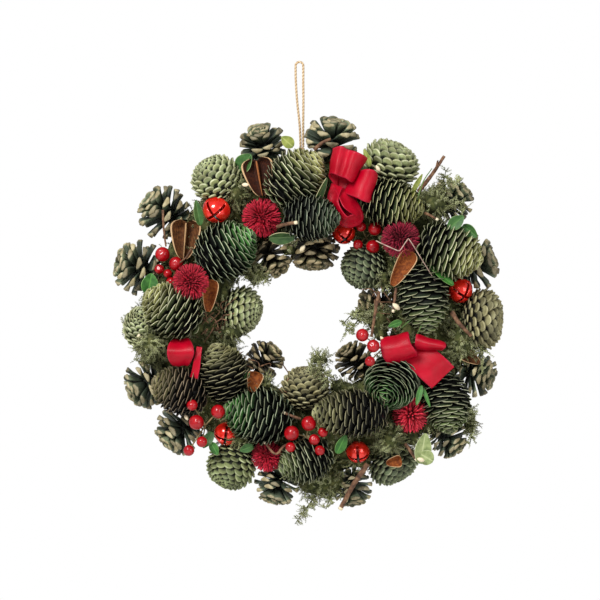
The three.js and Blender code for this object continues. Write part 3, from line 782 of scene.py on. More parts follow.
OPEN_CONES = [
    (32, 44, 105, 30, "slate"), (36, 50, 83, 20, "slate"), (38, 40, 39, 10, "slate"),
    (32, 50, 17, 15, "slate"), (46, 49, 146, 20, "slate"), (42, 48, 165, 20, "slate"),
    (36, 44, 204, 15, "slate"), (40, 46, 222, 15, "slate"), (34, 36, 46, 15, "brown"),
    (34, 34, 188, 15, "brown"), (40, 34, 260, 15, "brown"), (36, 36, 132, 15, "brown"),
    (32, 42, 340, 15, "slate"), (36, 38, 283, 15, "slate"),
]
# Cones that no solid stands for: their name and place, then as above.
MORE_CONES = [
    ("open_cone_15", (-32, -14, -162), 38, 42, 255, 10, "slate"),
    ("open_cone_16", (129, -16, -118), 38, 38, 318, 10, "slate"),
    ("open_cone_17", (-38, -20, 52), 36, 42, 306, 20, "brown"),
    ("open_cone_18", (2, -22, 60), 34, 46, 274, 16, "brown"),
    ("round_cone_09", (-156, -27, -14), 42, 40, 100, 40, "sage"),
]
# The colours of each dye: painted shade where scales meet, then on their bodies, at their rims, and
# at the tip.
DYED = {
    "dark": ("#020402", "#182418", "#a9b198", "#4c6844"),
    "bright": ("#020402", "#1c301a", "#c4cfac", "#569a46"),
    "pale": ("#040602", "#2c3a22", "#d6dab4", "#84985c"),
    "yellow": ("#050602", "#3a4824", "#e2e0ac", "#a6aa5c"),
    "gold": ("#060802", "#627244", "#f0efc8", "#ccce80"),
    "khaki": ("#050402", "#2c2c1c", "#bab48e", "#b0b07c"),
    "umber": ("#060302", "#2a2018", "#a8957a", "#9c9868"),
}
# The same of the cones whose scales are shut like tiles, and what dims their dullest scale.
TILED = {
    "sage": ("#12180a", "#a7b27c", "#d5d8b0", "#b4c08a", "#bcbcbc"),
    "moss": ("#14180b", "#8c9964", "#bcc496", "#9cab74", "#b0b0b0"),
    "husk": ("#16140a", "#948f66", "#c6bf94", "#a6a378", "#b0b0b0"),
    "dusk": ("#0e120b", "#6c7a58", "#aab28e", "#7c8a66", "#a8a8a8"),
}
# The same of open cones: weathered to a grey green, or still brown.
OPENED = {
    "slate": ("#3f4a3e", "#647460", "#cbbf98", "#94a07e"),
    "brown": ("#2a261a", "#5a5240", "#c2b088", "#8a8864"),
}


def cone_finishes():
    """A finish for each dye, by its name."""
    made = {dye: cone_finish("cone_dyed_" + dye, *colours) for dye, colours in DYED.items()}
    for dye, (*colours, dull) in TILED.items():
        made[dye] = cone_finish("cone_" + dye, *colours, (0.22, 0.36, 0.74, 0.92), dull, 0.75)
    for dye, colours in OPENED.items():
        made[dye] = cone_finish("cone_" + dye, *colours, (0.1, 0.45, 0.7, 0.9))
    return made


def make_cones():
    finishes = cone_finishes()
    fan = fan_scale("fan", 16.8, 13.0, 0.9, 2.4, 1.1, 0.26)
    pad = fan_scale("pad", 8.8, 10.0, 2.4, 0.9, 0.1, 0.5)
    finger = finger_scale("finger", 17.4, 10.6, 3.8)
    for kind, scale, cones, word in (
            (LONG, fan, LONG_CONES, "long_cone"), (ROUND, pad, ROUND_CONES, "round_cone"),
            (OPEN, finger, OPEN_CONES, "open_cone")):
        for number, (length, girth, heading, tilt, dye) in enumerate(cones, 1):
            node = f"{word}_{number:02d}"
            cone = grow_cone(node + "_scales", kind, scale, finishes[dye], length * GROWN,
                             girth * GROWN, heading, tilt, number)
            seat(cone, node)
            wear(cone, word, node)
    for seed, (name, place, length, girth, heading, tilt, dye) in enumerate(MORE_CONES, 30):
        word = name[:-3]
        kind, scale = (ROUND, pad) if word == "round_cone" else (OPEN, finger)
        cone = grow_cone(name + "_scales", kind, scale, finishes[dye], length, girth,
                         heading, tilt, seed)
        put(cone, place)
        wear(cone, word)
    for scale in (fan, pad, finger):
        bpy.data.objects.remove(scale)


# ------------------------------------------------------------------ flower heads
# Manner, radius and dye of each head.
HEADS = [
    ("fine", 18.0, "scarlet"), ("fine", 16.5, "crimson"), ("fine", 17.5, "claret"),
    ("spiky", 16.0, "cherry"), ("fine", 14.5, "scarlet"),
]
FINE = Kind(inner=0.40, span=0.34, fullest=0.5, lifts=(90, 90), Scales=620, Spread=2.6,
            Smallest=0.9, Unevenness=0.2, girth=34.0, Evenness=1.0)
SPIKY = Kind(inner=0.30, span=0.3, fullest=0.5, lifts=(90, 90), Scales=210, Spread=2.0,
             Smallest=0.9, Unevenness=0.12, girth=30.0, Evenness=1.0)


def flower_finish(name, low, high, tip):
    """Dried flower head, dyed red: many dull bristles, darkened in patches by painted shade."""
    return toned_finish(name, low, high, tip, 0.8, 8.0)


def make_flower_heads():
    dyes = {
        "crimson": flower_finish("dried_flower_crimson", "#7c0418", "#c80c28", "#dc2844"),
        "scarlet": flower_finish("dried_flower_scarlet", "#94041c", "#e80e34", "#f02c4c"),
        "cherry": flower_finish("dried_flower_cherry", "#b0081e", "#f81c38", "#fc4058"),
        "claret": flower_finish("dried_flower_claret", "#3c0412", "#840828", "#b41c40"),
    }
    bristle = spike("bristle", 11.0, 1.15, 0.3)
    petal = spike("petal", 12.0, 2.0, 0.2)
    for number, (manner, radius, dye) in enumerate(HEADS, 1):
        node = f"flower_head_{number:02d}"
        kind, scale = (FINE, bristle) if manner == "fine" else (SPIKY, petal)
        head = grow_cone(node + "_bristles", kind, scale, dyes[dye], 2 * radius, 2 * radius,
                         90, 88, number)
        seat(head, node)
        wear(head, "flower_head", node)
    for scale in (bristle, petal):
        bpy.data.objects.remove(scale)


# ------------------------------------------------------------------ bells
# Radius of each bell, and where its mouth looks: heading and tilt.
BELLS = [(12.5, 250, 60), (10.5, 280, 50), (11.5, 300, 55), (11.0, 260, 60), (10.5, 270, 50)]
BELL_WALL = 0.9
BELL_SLOT = 2.6
SLOT_END = 0.22  # above the belt, in radii
BELT_WIDTH, BELT_HEIGHT = 0.09, 0.06  # in radii
PELLET = 0.3  # its radius, in the bell's


def bell_shell(name, radius, finish):
    """A thin ball whose mouth looks along +Z, slit crosswise there and rolled at its belt."""
    ball = bmesh.new()
    bmesh.ops.create_uvsphere(ball, u_segments=40, v_segments=28, radius=radius)
    half = BELL_SLOT / 2
    cuts = [((1, 0, 0), half), ((1, 0, 0), -half), ((0, 1, 0), half), ((0, 1, 0), -half),
            ((0, 0, 1), SLOT_END * radius)]
    for normal, distance in cuts:
        bmesh.ops.bisect_plane(ball, geom=ball.verts[:] + ball.edges[:] + ball.faces[:],
                               plane_co=Vector(normal) * distance, plane_no=normal, dist=1e-4)
    gone = []
    for face in ball.faces:
        middle = face.calc_center_median()
        if middle.z > SLOT_END * radius and min(abs(middle.x), abs(middle.y)) < half:
            gone.append(face)
    bmesh.ops.delete(ball, geom=gone, context="FACES")
    for vertex in ball.verts:
        belt = math.exp(-((vertex.co.z / (BELT_WIDTH * radius)) ** 2))
        out = Vector((vertex.co.x, vertex.co.y, 0))
        vertex.co += out * (BELT_HEIGHT * belt)
    bmesh.ops.scale(ball, vec=(MM, MM, MM), verts=ball.verts)
    mesh = bpy.data.meshes.new(name)
    ball.to_mesh(mesh)
    ball.free()
    mesh.materials.append(finish)
    mesh.shade_smooth()
    shell = new_object(name, mesh)
    solid = shell.modifiers.new("Wall", "SOLIDIFY")
    solid.thickness = BELL_WALL * MM
    solid.offset = -1.0
    return shell


def make_bells():
    # Jingle bell, pressed from thin steel and lacquered a clear red over the bright metal.
    red = plain_finish("bell_red_lacquer", ["#d8160e", "#f6301e"], 9.0, {
        "Metallic": 0.35, "Roughness": 0.2, "Coat Weight": 0.6, "Coat Roughness": 0.04},
        bump=0.04, fine=5.0, detail=1.0)
    # Bare rolled steel, dull with age.
    dull = plain_finish("bell_pellet_steel", ["#4a4a48", "#6d6c68"], 4.0,
                        {"Metallic": 1.0, "Roughness": 0.5})
    for number, (radius, heading, tilt) in enumerate(BELLS, 1):
        node = f"jingle_bell_{number:02d}"
        shell = applied(bell_shell(node + "_shell", radius, red))
        shell.data.transform(turn_to(heading, tilt, roll=20 + 15 * number))
        seat(shell, node)
        wear(shell, "bell", node)
        inner = PELLET * radius
        outline = [(inner * math.sin(a), -inner * math.cos(a))
                   for a in np.radians([12, 35, 60, 90, 120, 145, 168])]
        down = np.array([0, 0, -(radius - BELL_WALL - inner - 0.4)])
        pellet = shape(node + "_pellet", [moved(turned(outline, 14), place_of(node) + down)], dull)
        wear(pellet, "bell")


# ------------------------------------------------------------------ berries
# Berries of each spray as [x, z, radius], and the foot where their wires meet.
SPRAYS = [
    ((-128, 40), [(-139, 55, 7), (-126, 46, 7), (-142, 41, 4.7), (-134, 37, 4.2),
                  (-131, 29, 4.7)]),
    ((52, 71), [(47, 81, 4.7), (60, 79, 6.5), (44, 64, 4.7), (58, 62, 6.5)]),
    ((66, -33), [(47, -20, 6), (57, -30, 6), (54, -44, 4.7)]),
    ((-98, -104), [(-110, -85, 5.1), (-106, -101, 7), (-86, -91, 6.5), (-101, -119, 5.1),
                   (-113, -127, 5.1)]),
    ((-4, -115), [(-2, -102, 7), (-18, -111, 7), (11, -110, 4.7), (3, -117, 5.1),
                  (-19, -124, 4.7), (8, -127, 4.7)]),
]
WIRES_MEET = 12.0  # behind the middle of the berries


def berry(radius):
    """A ball with a dimple and a small bud end at +Z."""
    polar = np.radians([6, 18, 34, 52, 70, 90, 110, 128, 146, 160, 169, 175])
    outline = []
    for a in polar[::-1]:
        dimple = 0.14 * radius * math.exp(-((a / 0.28) ** 2))
        outline.append((radius * math.sin(a), radius * math.cos(a) - dimple))
    return turned(outline, 20)


def make_berries():
    # Berry of moulded foam, dipped in red lacquer: a deep gloss over a slightly lumpy ball.
    red = plain_finish("berry_red_lacquer", ["#8a000c", "#b50412"], 6.0, {
        "Roughness": 0.4, "Specular IOR Level": 0.25, "Coat Weight": 0.5,
        "Coat Roughness": 0.05}, bump=0.12, fine=2.2, detail=3.0)
    # Wire wound with kraft paper: straw brown and dull.
    paper = plain_finish("wire_wrapped_in_paper", ["#6e5a3c", "#a08a60"], 3.0,
                         {"Roughness": 0.8})
    for number, (foot, berries) in enumerate(SPRAYS, 1):
        node = f"berry_spray_{number:02d}"
        low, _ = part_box(node)
        depth = low.y / MM + max(radius for _, _, radius in berries)
        meeting = RING_CENTRE + [foot[0], depth + WIRES_MEET, foot[1]]
        balls, wires = [], []
        for x, z, radius in berries:
            place = RING_CENTRE + [x, depth, z]
            out = place - meeting
            look = Vector((out[0] * 0.3 + chance.uniform(-3, 3), -8,
                           out[2] * 0.3 + chance.uniform(-3, 3)))
            turn = look.to_track_quat("Z", "Y").to_matrix()
            balls.append(moved(berry(radius), place, turn))
            bow = (place + meeting) / 2 + [0, 2.5, 0]
            wires.append(tube(curve_through([meeting, bow, place], 9), 0.65, 6))
        wear(shape(node + "_berries", balls, red), "berry", node)
        wear(shape(node + "_wires", wires, paper), "berry")


# ------------------------------------------------------------------ the ring and its moss
RING_POINTS = 96  # along each strand of vine
VINES = 16
BUNDLE = (24.0, 11.5)  # half the width and half the depth that the vines wind round
WIRE_TURN = (30.5, 15.6)  # the same of a turn of binding wire
WIRE_PLACES = 9


def ring_point(angle, across, forward):
    """A point of the ring: across from its core circle outwards, and forward from it."""
    radius = CORE_RADIUS + across
    return RING_CENTRE + [radius * math.cos(angle), -forward, radius * math.sin(angle)]


def lines_mesh(name, lines):
    """A mesh of edges only, from (points, radii, closed) lines in millimetres.

    Its girth mark is the rod's radius at each point.
    """
    points, edges, girths = [], [], []
    for path, radii, closed in lines:
        first, count = len(points), len(path)
        points += [tuple(p) for p in np.asarray(path) * MM]
        girths += list(np.broadcast_to(np.asarray(radii, float), count) * MM)
        edges += [(first + i, first + i + 1) for i in range(count - 1)]
        if closed:
            edges.append((first + count - 1, first))
    mesh = bpy.data.meshes.new(name)
    mesh.from_pydata(points, edges, [])
    mark_points(mesh, "girth", girths)
    return mesh


def rods(name, lines, finish, sides, step, knobs, knob_size):
    """Rods grown along lines in steps, with knobs of a height and a size."""
    return grow(name, TREES["rod"], {
        "Sides": sides, "Step": step * MM, "Knobs": knobs * MM, "Knob size": knob_size * MM,
        "Finish": finish}, lines_mesh(name, lines))


def make_vines():
    """Vines wound round each other into a ring, and the turns of wire that bind them."""
    # Vine, dried with its bark on: dull, rough, dark brown with paler patches.
    bark = plain_finish("vine_bark", ["#2f2218", "#5b4431", "#7b6248"], 9.0,
                        {"Roughness": 0.9}, bump=0.5, fine=1.6)
    half_width, half_depth = BUNDLE
    lines = []
    for strand in range(VINES):
        layer = 0.45 if strand % 3 == 0 else 0.82
        start, twist = FULL_TURN * strand / VINES, 3 if strand % 2 else 2
        path = []
        for angle in angles_round(RING_POINTS):
            turn = start + twist * angle
            wander = layer * (1 + 0.08 * math.sin(5 * angle + strand))
            path.append(ring_point(angle, half_width * math.cos(turn) * wander,
                                   half_depth * math.sin(turn) * wander))
        lines.append((path, 4.6 - 0.16 * (strand % 5), True))
    wear(rods("vine_bundle", lines, bark, 9, 6, 1.6, 9), "vine", "vine_ring")

    # Steel wire, lacquered dark green: thin, with a soft shine.
    lacquer = plain_finish("binding_wire_green", ["#24352a", "#3c5040"], 4.0,
                           {"Metallic": 0.6, "Roughness": 0.4})
    half_width, half_depth = WIRE_TURN
    turns = []
    for place in range(WIRE_PLACES):
        for wind in range(3):
            angle = FULL_TURN * (place + 0.5) / WIRE_PLACES + wind * 0.018
            path = [ring_point(angle + 0.01 * a / math.pi, half_width * math.cos(a),
                               half_depth * math.sin(a)) for a in angles_round(30)]
            turns.append((path, 0.5, True))
    wear(rods("binding_wire", turns, lacquer, 6, 3, 0, 9), "vine")


# Tufts of moss between the cones: [x, z] on the ring, the depth of their fronts, half width,
# half height and how thickly their sprigs stand.
TUFTS = [
    (-131, -20, -48, 13, 28, 1.0), (-150, -40, -36, 14, 12, 1.0), (-71, 114, -50, 14, 22, 1.0),
    (-52, 38, -42, 14, 12, 1.0), (116, 102, -44, 17, 17, 1.0), (69, 31, -44, 7, 13, 1.0),
    (64, -5, -36, 9, 17, 0.8), (30, -71, -32, 15, 8, 0.7), (112, -106, -26, 9, 12, 0.5),
    (140, -26, -42, 18, 28, 1.0), (149, -101, -26, 7, 18, 0.6),
    (8, -44, -48, 12, 5, 0.8), (-43, -67, -52, 8, 8, 0.7), (-66, -118, -46, 11, 10, 0.8),
    (72, -118, -56, 18, 20, 1.0), (10, -160, -30, 28, 16, 1.0), (-18, -150, -34, 12, 8, 0.8),
    (-84, 86, -36, 13, 11, 0.6), (100, 88, -34, 13, 11, 0.7), (-82, 18, -30, 8, 24, 0.6),
    (-76, -18, -38, 16, 9, 0.8), (40, -108, -44, 12, 8, 0.6), (-138, -62, -26, 12, 8, 0.6),
    (-150, -28, -62, 15, 18, 1.0), (62, -6, -30, 13, 13, 0.8), (24, -70, -34, 8, 9, 0.7),
    (110, -105, -34, 9, 8, 0.7), (-20, 60, -34, 10, 8, 0.5), (95, -116, -34, 9, 12, 0.7),
    (48, -140, -26, 13, 8, 0.6), (66, -20, -30, 9, 9, 0.8), (75, -4, -28, 7, 9, 0.7),
]
# Wisps that stand clear of the moss, as [x, depth, z] along each.
WISPS = [
    [(112, -30, 108), (126, -34, 120), (141, -34, 124)],
    [(116, -30, 110), (124, -33, 124), (126, -34, 133)],
    [(120, -26, 98), (138, -30, 104), (146, -30, 98)],
    [(4, -24, -172), (-8, -26, -188), (-15, -26, -198)],
    [(20, -24, -168), (14, -28, -184)],
    [(146, -24, -84), (152, -28, -104), (149, -26, -124)],
    [(60, -30, -6), (44, -32, 2), (30, -30, -10)], [(48, -31, 0), (40, -33, -12), (32, -30, -18)],
    [(0, -50, -48), (14, -56, -56), (16, -54, -68)],
    [(150, -26, -2), (160, -30, -24), (160, -30, -52)],
    [(-150, -20, 6), (-168, -24, 0), (-176, -22, -14)],
    [(-60, -34, 44), (-46, -40, 34), (-38, -38, 30)],
]
TUFT_FOOT = -12.0  # the depth at which a tuft is rooted
TUFT_BODY = 0.8  # of its size, as the rest is sprigs
VOXEL = 3.5  # of the skin that is drawn over the bed and its tufts
SECTORS = 4  # of the ring: each has a piece of its own for the sprigs that grow there


def sprig(name, reach, blades, blade, bend):
    """A thread of moss with tiny pointed leaves all round it."""
    def stem_at(t):
        return np.array([bend * t * t, t, 0.15 * bend * math.sin(5 * t)]) * reach

    parts = [tube([stem_at(t) for t in np.linspace(0, 1, 4)], np.linspace(0.35, 0.15, 4), 3,
                  rim=np.full((4, 3), 0.15))]
    for i in range(blades):
        t = 0.12 + 0.88 * (i + 0.5) / blades
        angle = i * GOLDEN_ANGLE
        out = np.array([math.cos(angle), 0.5, math.sin(angle)])
        side = np.cross(out, [0, 1, 0.1])
        size = blade * (1.1 - 0.4 * t)
        side *= 0.42 * size / np.linalg.norm(side)
        foot, middle = stem_at(t), stem_at(t) + out * size * 0.6
        raised = middle - side + [0, 0.12 * size, 0]
        points = np.array([foot, foot + out * size, middle + side, raised])
        faces = [(0, 2, 1), (0, 1, 3), (0, 3, 2), (1, 2, 3)]
        parts.append((points, faces, {"rim": np.array([0.0, 1.0, 0.4, 0.4])}))
    return shape(name, parts)


def moss_mesh():
    """The moss bed's solid and the tufts on it, drawn again as one skin of even faces."""
    copy = bmesh.new()
    copy.from_mesh(frame["nodes"]["moss_bed"].data)
    bmesh.ops.remove_doubles(copy, verts=copy.verts, dist=0.02 * MM)
    points = np.array([vertex.co for vertex in copy.verts]) / MM
    faces = [tuple(vertex.index for vertex in face.verts) for face in copy.faces]
    copy.free()
    parts = [(points, faces, {})]
    forward = Vector((0, -1, 0)).to_track_quat("Z", "Y").to_matrix()
    dome = [(math.sin(a), -math.cos(a)) for a in np.radians([8, 30, 55, 80, 105, 130, 155, 172])]
    for x, z, front, half_width, half_height, _ in TUFTS:
        points, faces, marks = turned(dome, 14)
        points = points * [half_width * TUFT_BODY, half_height * TUFT_BODY, TUFT_FOOT - front]
        points[:, 2] = np.where(points[:, 2] < 0, points[:, 2] * 0.25, points[:, 2])
        parts.append(moved((points, faces, marks), RING_CENTRE + [x, TUFT_FOOT, z], forward))
    skin = shape("moss_skin", parts)
    even = skin.modifiers.new("Even", "REMESH")
    even.mode = "VOXEL"
    even.voxel_size = VOXEL * MM
    mesh = applied(skin).data
    bpy.data.objects.remove(skin)
    return mesh


def mark_lushness(mesh, sector):
    """How thickly sprigs stand at each point of a sector: thick on the tufts, none behind."""
    points = np.array([vertex.co for vertex in mesh.vertices]) / MM - RING_CENTRE
    lush = 0.45 * np.clip((8 - points[:, 1]) / 10, 0, 1)
    for x, z, _, half_width, half_height, thick in TUFTS:
        away = np.hypot((points[:, 0] - x) / half_width, (points[:, 2] - z) / half_height)
        lush = np.maximum(lush, thick * np.clip(1.6 - away, 0, 1))
    lush *= np.clip((6 - points[:, 1]) / 8, 0, 1)
    turn = (np.arctan2(points[:, 2], points[:, 0]) / FULL_TURN) % 1
    lush *= (turn * SECTORS).astype(int) == sector
    mark_points(mesh, "lush", lush)


def make_moss():
    # Feather moss, dried: dull olive sprigs, paler at the ends of their leaves.
    green = toned_finish("dried_moss", "#70783a", "#ccd68a", "#f4f6c8", 0.95, 14.0)
    # The mat under the sprigs, and the wisps' stems: soft, and dark as painted shade among the
    # sprigs.
    ground = plain_finish("moss_ground_painted_shade", ["#22260f", "#444a22", "#66653a"], 5.0,
                          {"Roughness": 1.0}, bump=1.0, fine=1.5)
    plants = bpy.data.collections.new("moss_plants")
    for number, (reach, blades, blade, bend) in enumerate(
            [(8.0, 17, 1.9, 0.25), (6.0, 14, 2.1, -0.35), (10.0, 20, 1.7, 0.5)]):
        plant = sprig(f"sprig_{number}", reach, blades, blade, bend)
        bpy.context.scene.collection.objects.unlink(plant)
        plants.objects.link(plant)
    settings = {"Plants": plants, "Smallest": 0.55, "Largest": 1.1, "Sway": 0.75,
                "Droop": -0.12, "Finish": green, "Ground": ground}
    skin = moss_mesh()
    for sector in range(SECTORS):
        mesh = skin.copy()
        mark_lushness(mesh, sector)
        turf = grow(f"moss_turf_{sector + 1}", TREES["scatter"], {
            **settings, "Density": 60000.0, "Knobs": 5 * MM, "Knob size": 11 * MM,
            "Seed": 3, "Keep ground": sector == 0}, mesh)
        wear(turf, "moss", *(["moss_bed"] if sector == 0 else []))
    stems = []
    for wisp in WISPS:
        stems.append(tube(ring_curve(wisp, 14), np.linspace(0.9, 0.4, 14), 5,
                          lush=np.ones((14, 5))))
    base = shape("wisp_stems", stems)
    wisps = grow("moss_wisps", TREES["scatter"], {
        **settings, "Density": 380000.0, "Knobs": 0.4 * MM, "Knob size": 3 * MM,
        "Seed": 8, "Keep ground": True}, base.data)
    bpy.data.objects.remove(base)
    wear(wisps, "moss")
    for plant in list(plants.objects):
        bpy.data.objects.remove(plant)
    bpy.data.collections.remove(plants)


# ------------------------------------------------------------------ ribbons
RIBBON_WIDTH = 27.0
SATIN = 0.45  # how thick
THREAD = 0.5  # from one drawn thread to the next
SLACK = 0.5  # how far the band bulges between its edges
# Each bow's bands: how many layers a band is folded to, and its stations along the ribbon, with
# its two edges as [x, z] on the ring and its depth there, or the two edges' own depths.
BOWS = [
    [
        (1, [
            ((30, 149), (25, 116), -44), ((21, 152), (17, 126), -50), ((22, 153), (18, 129), -58),
            ((28, 154), (22, 128), -65), ((34, 151), (27, 126), -62),
            ((41, 149), (32, 124), -66), ((48, 146), (36, 121), -63),
            ((52, 143), (39, 121), -54), ((47, 140), (38, 118), -46), ((38, 144), (32, 113), -42)]),
        (1, [
            ((43, 131), (30, 112), -48), ((46, 132), (36, 109), -56), ((52, 133), (43, 106), -61),
            ((58, 132), (49, 103), -61), ((61, 129), (54, 102), -56), ((61, 127), (54, 102), -50),
            ((55, 128), (46, 106), -44), ((46, 131), (34, 111), -42)]),
        (1, [
            ((19, 121), (29, 117), (-44, -54)), ((15, 107), (25, 106), (-48, -62)),
            ((17, 95), (27, 97), (-49, -65)), ((24, 84), (33, 89), (-49, -66)),
            ((34, 79), (36, 90), (-49, -66)), ((45, 82), (39, 91), (-49, -66)),
            ((49, 89), (36, 93), (-49, -66)), ((46, 99), (30, 98), (-49, -65)),
            ((40, 107), (27, 104), (-49, -62)), ((33, 115), (24, 111), (-46, -58)),
            ((25, 118), (22, 117), (-42, -50))]),
        (1, [
            ((22, 134), (42, 126), -42), ((20, 118), (42, 114), -43), ((20, 104), (43, 102), -45),
            ((24, 92), (43, 90), -46), ((30, 85), (43, 84), -46)]),
    ],
    [
        (1, [
            ((70, -26), (92, -21), -44), ((66, -23), (90, -17), -52), ((64, -26), (90, -19), -60),
            ((64, -33), (92, -28), -65), ((66, -40), (96, -34), -65), ((70, -46), (98, -38), -60),
            ((72, -49), (98, -40), -52), ((75, -44), (99, -34), -45), ((73, -34), (99, -27), -42)]),
        (1, [
            ((98, -26), (122, -32), -44), ((98, -19), (124, -27), -50),
            ((97, -21), (125, -29), -57), ((96, -27), (124, -32), -59),
            ((96, -32), (122, -34), -55), ((98, -34), (121, -35), -48),
            ((99, -32), (120, -34), -43)]),
        (1, [
            ((81, -40), (109, -28), -46), ((88, -46), (117, -35), -50),
            ((99, -58), (126, -43), -53), ((112, -70), (133, -50), -50)]),
    ],
    [
        (1, [
            ((-125, -27), (-116, -26), -40), ((-128, -24), (-114, -23), -47),
            ((-132, -29), (-110, -28), -54), ((-133, -36), (-108, -36), -58),
            ((-132, -43), (-110, -43), -55), ((-128, -49), (-114, -49), -49),
            ((-125, -47), (-116, -47), -42)]),
        (3, [
            ((-106, -31), (-101, -32), -48), ((-108, -41), (-102, -41), -50),
            ((-110, -51), (-103, -51), -50), ((-112, -59), (-105, -61), -48)]),
    ],
]
BAND_STEPS = 46  # rows of points along a band
BAND_COLUMNS = 13  # and across each of its layers


def satin_finish():
    """Satin ribbon, woven of bright filament: a soft sheen along its folds, paler selvages.

    The real threads lie 0.1 mm apart. They are drawn 0.5 mm apart, so that they show.
    """
    finish, tree, rim, weave = start_finish("satin_red", {
        "Roughness": 0.33, "Specular IOR Level": 0.22, "Anisotropic": 0.6}, "rim", "weave")
    cloth = add(tree, RAMP, {0: grain(tree, 16.0)}, [(0.3, "#9c0018"), (0.7, "#bc0626")])
    selvage = add(tree, RAMP, {0: rim}, [(0.86, BLACK), (0.97, WHITE)])
    edged = add(tree, MIX, {0: selvage, 6: cloth, 7: "#b81a34"}, **BLENDED)
    turns = FULL_TURN * RIBBON_WIDTH / THREAD
    thread = add(tree, MATH, {0: weave, 1: turns}, operation="MULTIPLY")
    rib = add(tree, MATH, {0: thread}, operation="SINE")
    return end_finish(finish, edged, rib, 0.03)


def band(folds, stations, shift):
    """A ribbon's band through its stations, with a little slack in it, and its length."""
    rows = []
    for (ax, az), (bx, bz), depth in stations:
        near, far = depth if isinstance(depth, tuple) else (depth, depth)
        rows.append([ax, near + shift, az, bx, far + shift, bz])
    rows = curve_through(rows, BAND_STEPS) + np.tile(RING_CENTRE, 2)
    first, second = rows[:, :3], rows[:, 3:]
    middle = (first + second) / 2
    across = second - first
    normal = np.cross(np.gradient(middle, axis=0), across)
    normal /= np.linalg.norm(normal, axis=1)[:, None]
    share = np.linspace(0, 1, BAND_COLUMNS * folds - (folds - 1))
    fold = np.abs((share * folds + 1) % 2 - 1) if folds > 1 else share
    layer = np.round(share * folds - 0.5) * SATIN * 2.2 if folds > 1 else 0 * share
    wave = SLACK * np.sin(share[None] * 7 + np.linspace(0, 5, BAND_STEPS)[:, None] * 1.3)
    lift = (wave * (1 - np.abs(2 * share - 1) ** 4) + layer)[..., None]
    skin = first[:, None] + across[:, None] * fold[None, :, None] + normal[:, None] * lift
    under = skin - normal[:, None] * SATIN
    rings = np.concatenate([skin, under[:, ::-1]], axis=1)
    rim = np.abs(2 * share - 1)
    return loft(rings, rim=np.concatenate([rim, rim[::-1]])[None],
                weave=np.concatenate([share, share[::-1]])[None]), length_of(middle)


def make_ribbons():
    satin = satin_finish()
    for number, bow in enumerate(BOWS, 1):
        node = f"ribbon_{number:02d}"
        low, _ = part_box(node)
        front = min(np.min(depth) for _, stations in bow for _, _, depth in stations)
        parts, length = [], 0.0
        for folds, stations in bow:
            part, run = band(folds, stations, low.y / MM - front)
            parts.append(part)
            length += run
        ribbon = shape(node + "_satin", parts, satin)
        wear(ribbon, "ribbon", node)


# ------------------------------------------------------------------ pods, leaves and twigs
# Split pods: name, place unless a solid stands for it, length, width, depth, heading, tilt, how
# high its partition is, and shade.
PODS = [
    ("seed_pod_01", None, 37, 29, 11, 100, 0, 1.0, "dark"),
    ("seed_pod_02", None, 38, 28, 12, 86, 0, 1.0, "tan"),
    ("seed_pod_03", (84, -56, 41), 38, 17, 8, 60, 10, 0.0, "rust"),
    ("seed_pod_04", (-94, -53, 16), 31, 15, 8, 84, 5, 0.0, "rust"),
    ("seed_pod_05", (150, -32, -42), 19, 12, 6, 150, 0, 0.0, "tan"),
    ("seed_pod_06", (-53, -48, -64), 20, 15, 7, 75, 0, 0.0, "rust"),
    ("seed_pod_07", (77, -52, -138), 15, 11, 6, 10, 0, 0.0, "rust"),
]


def pod_finish(name, inside, partition):
    """Seed pod, dried and split: velvety brown inside, streaked, with a pale papery rim."""
    finish, tree, weave, ridge, rim = start_finish(
        name, {"Roughness": 0.8, "Specular IOR Level": 0.25}, "weave", "ridge", "rim")
    velvet = add(tree, RAMP, {0: grain(tree, 2.5)}, list(zip((0.3, 0.7), inside)))
    across = add(tree, MATH, {0: weave, 1: 60.0}, operation="MULTIPLY")
    uneven = add(tree, MATH, {0: grain(tree, 6.0), 1: 9.0, 2: across}, operation="MULTIPLY_ADD")
    streak = add(tree, MATH, {0: uneven}, operation="SINE")
    fibres = add(tree, RAMP, {0: streak}, [(0.0, "#b0a498"), (0.8, WHITE)])
    streaked = add(tree, MIX, {0: 1.0, 6: velvet, 7: fibres}, **DARKENED)
    on_ridge = add(tree, RAMP, {0: ridge}, [(0.55, BLACK), (0.8, WHITE)])
    wall = add(tree, MIX, {0: on_ridge, 6: streaked, 7: partition}, **BLENDED)
    on_rim = add(tree, RAMP, {0: rim}, [(0.9, BLACK), (0.96, WHITE)])
    edged = add(tree, MIX, {0: on_rim, 6: wall, 7: "#d6b084"}, **BLENDED)
    return end_finish(finish, edged, grain(tree, 1.2, 5.0), 0.3)


def pod_half(length, width, depth, partition):
    """A bowl with a broad top and a narrow foot, and its partition. It looks along +Z."""
    rings, rims, ridges = [], [], []
    share = np.linspace(-1, 1, 21)
    for v in np.linspace(0.015, 0.985, 22):
        girth = v ** 0.42 * math.sqrt(1 - v ** 10)
        half, deep = width / 1.74 * girth, depth * girth ** 0.8
        top = length * (v - 0.5) - 0.1 * length * partition * v ** 6 * (1 - np.abs(share)) ** 2
        bowl = np.cos(np.pi / 2 * share) ** 0.7
        wall = partition * np.clip(1 - np.abs(share) / 0.22, 0, 1) ** 1.5
        hollow = -deep * bowl * (1 - wall)
        outside = -deep * bowl * 1.08 - 0.9
        inner = np.stack([half * share, top, hollow], 1)
        outer = np.stack([half * share * 1.04, top, outside], 1)
        rings.append(np.concatenate([inner, outer[::-1]]))
        rims.append(np.concatenate([np.abs(share), np.full(21, 0.93)]))
        ridges.append(np.concatenate([wall, np.zeros(21)]))
    weave = np.concatenate([share, share[::-1]])
    return loft(rings, rim=np.array(rims), ridge=np.array(ridges), weave=weave[None])


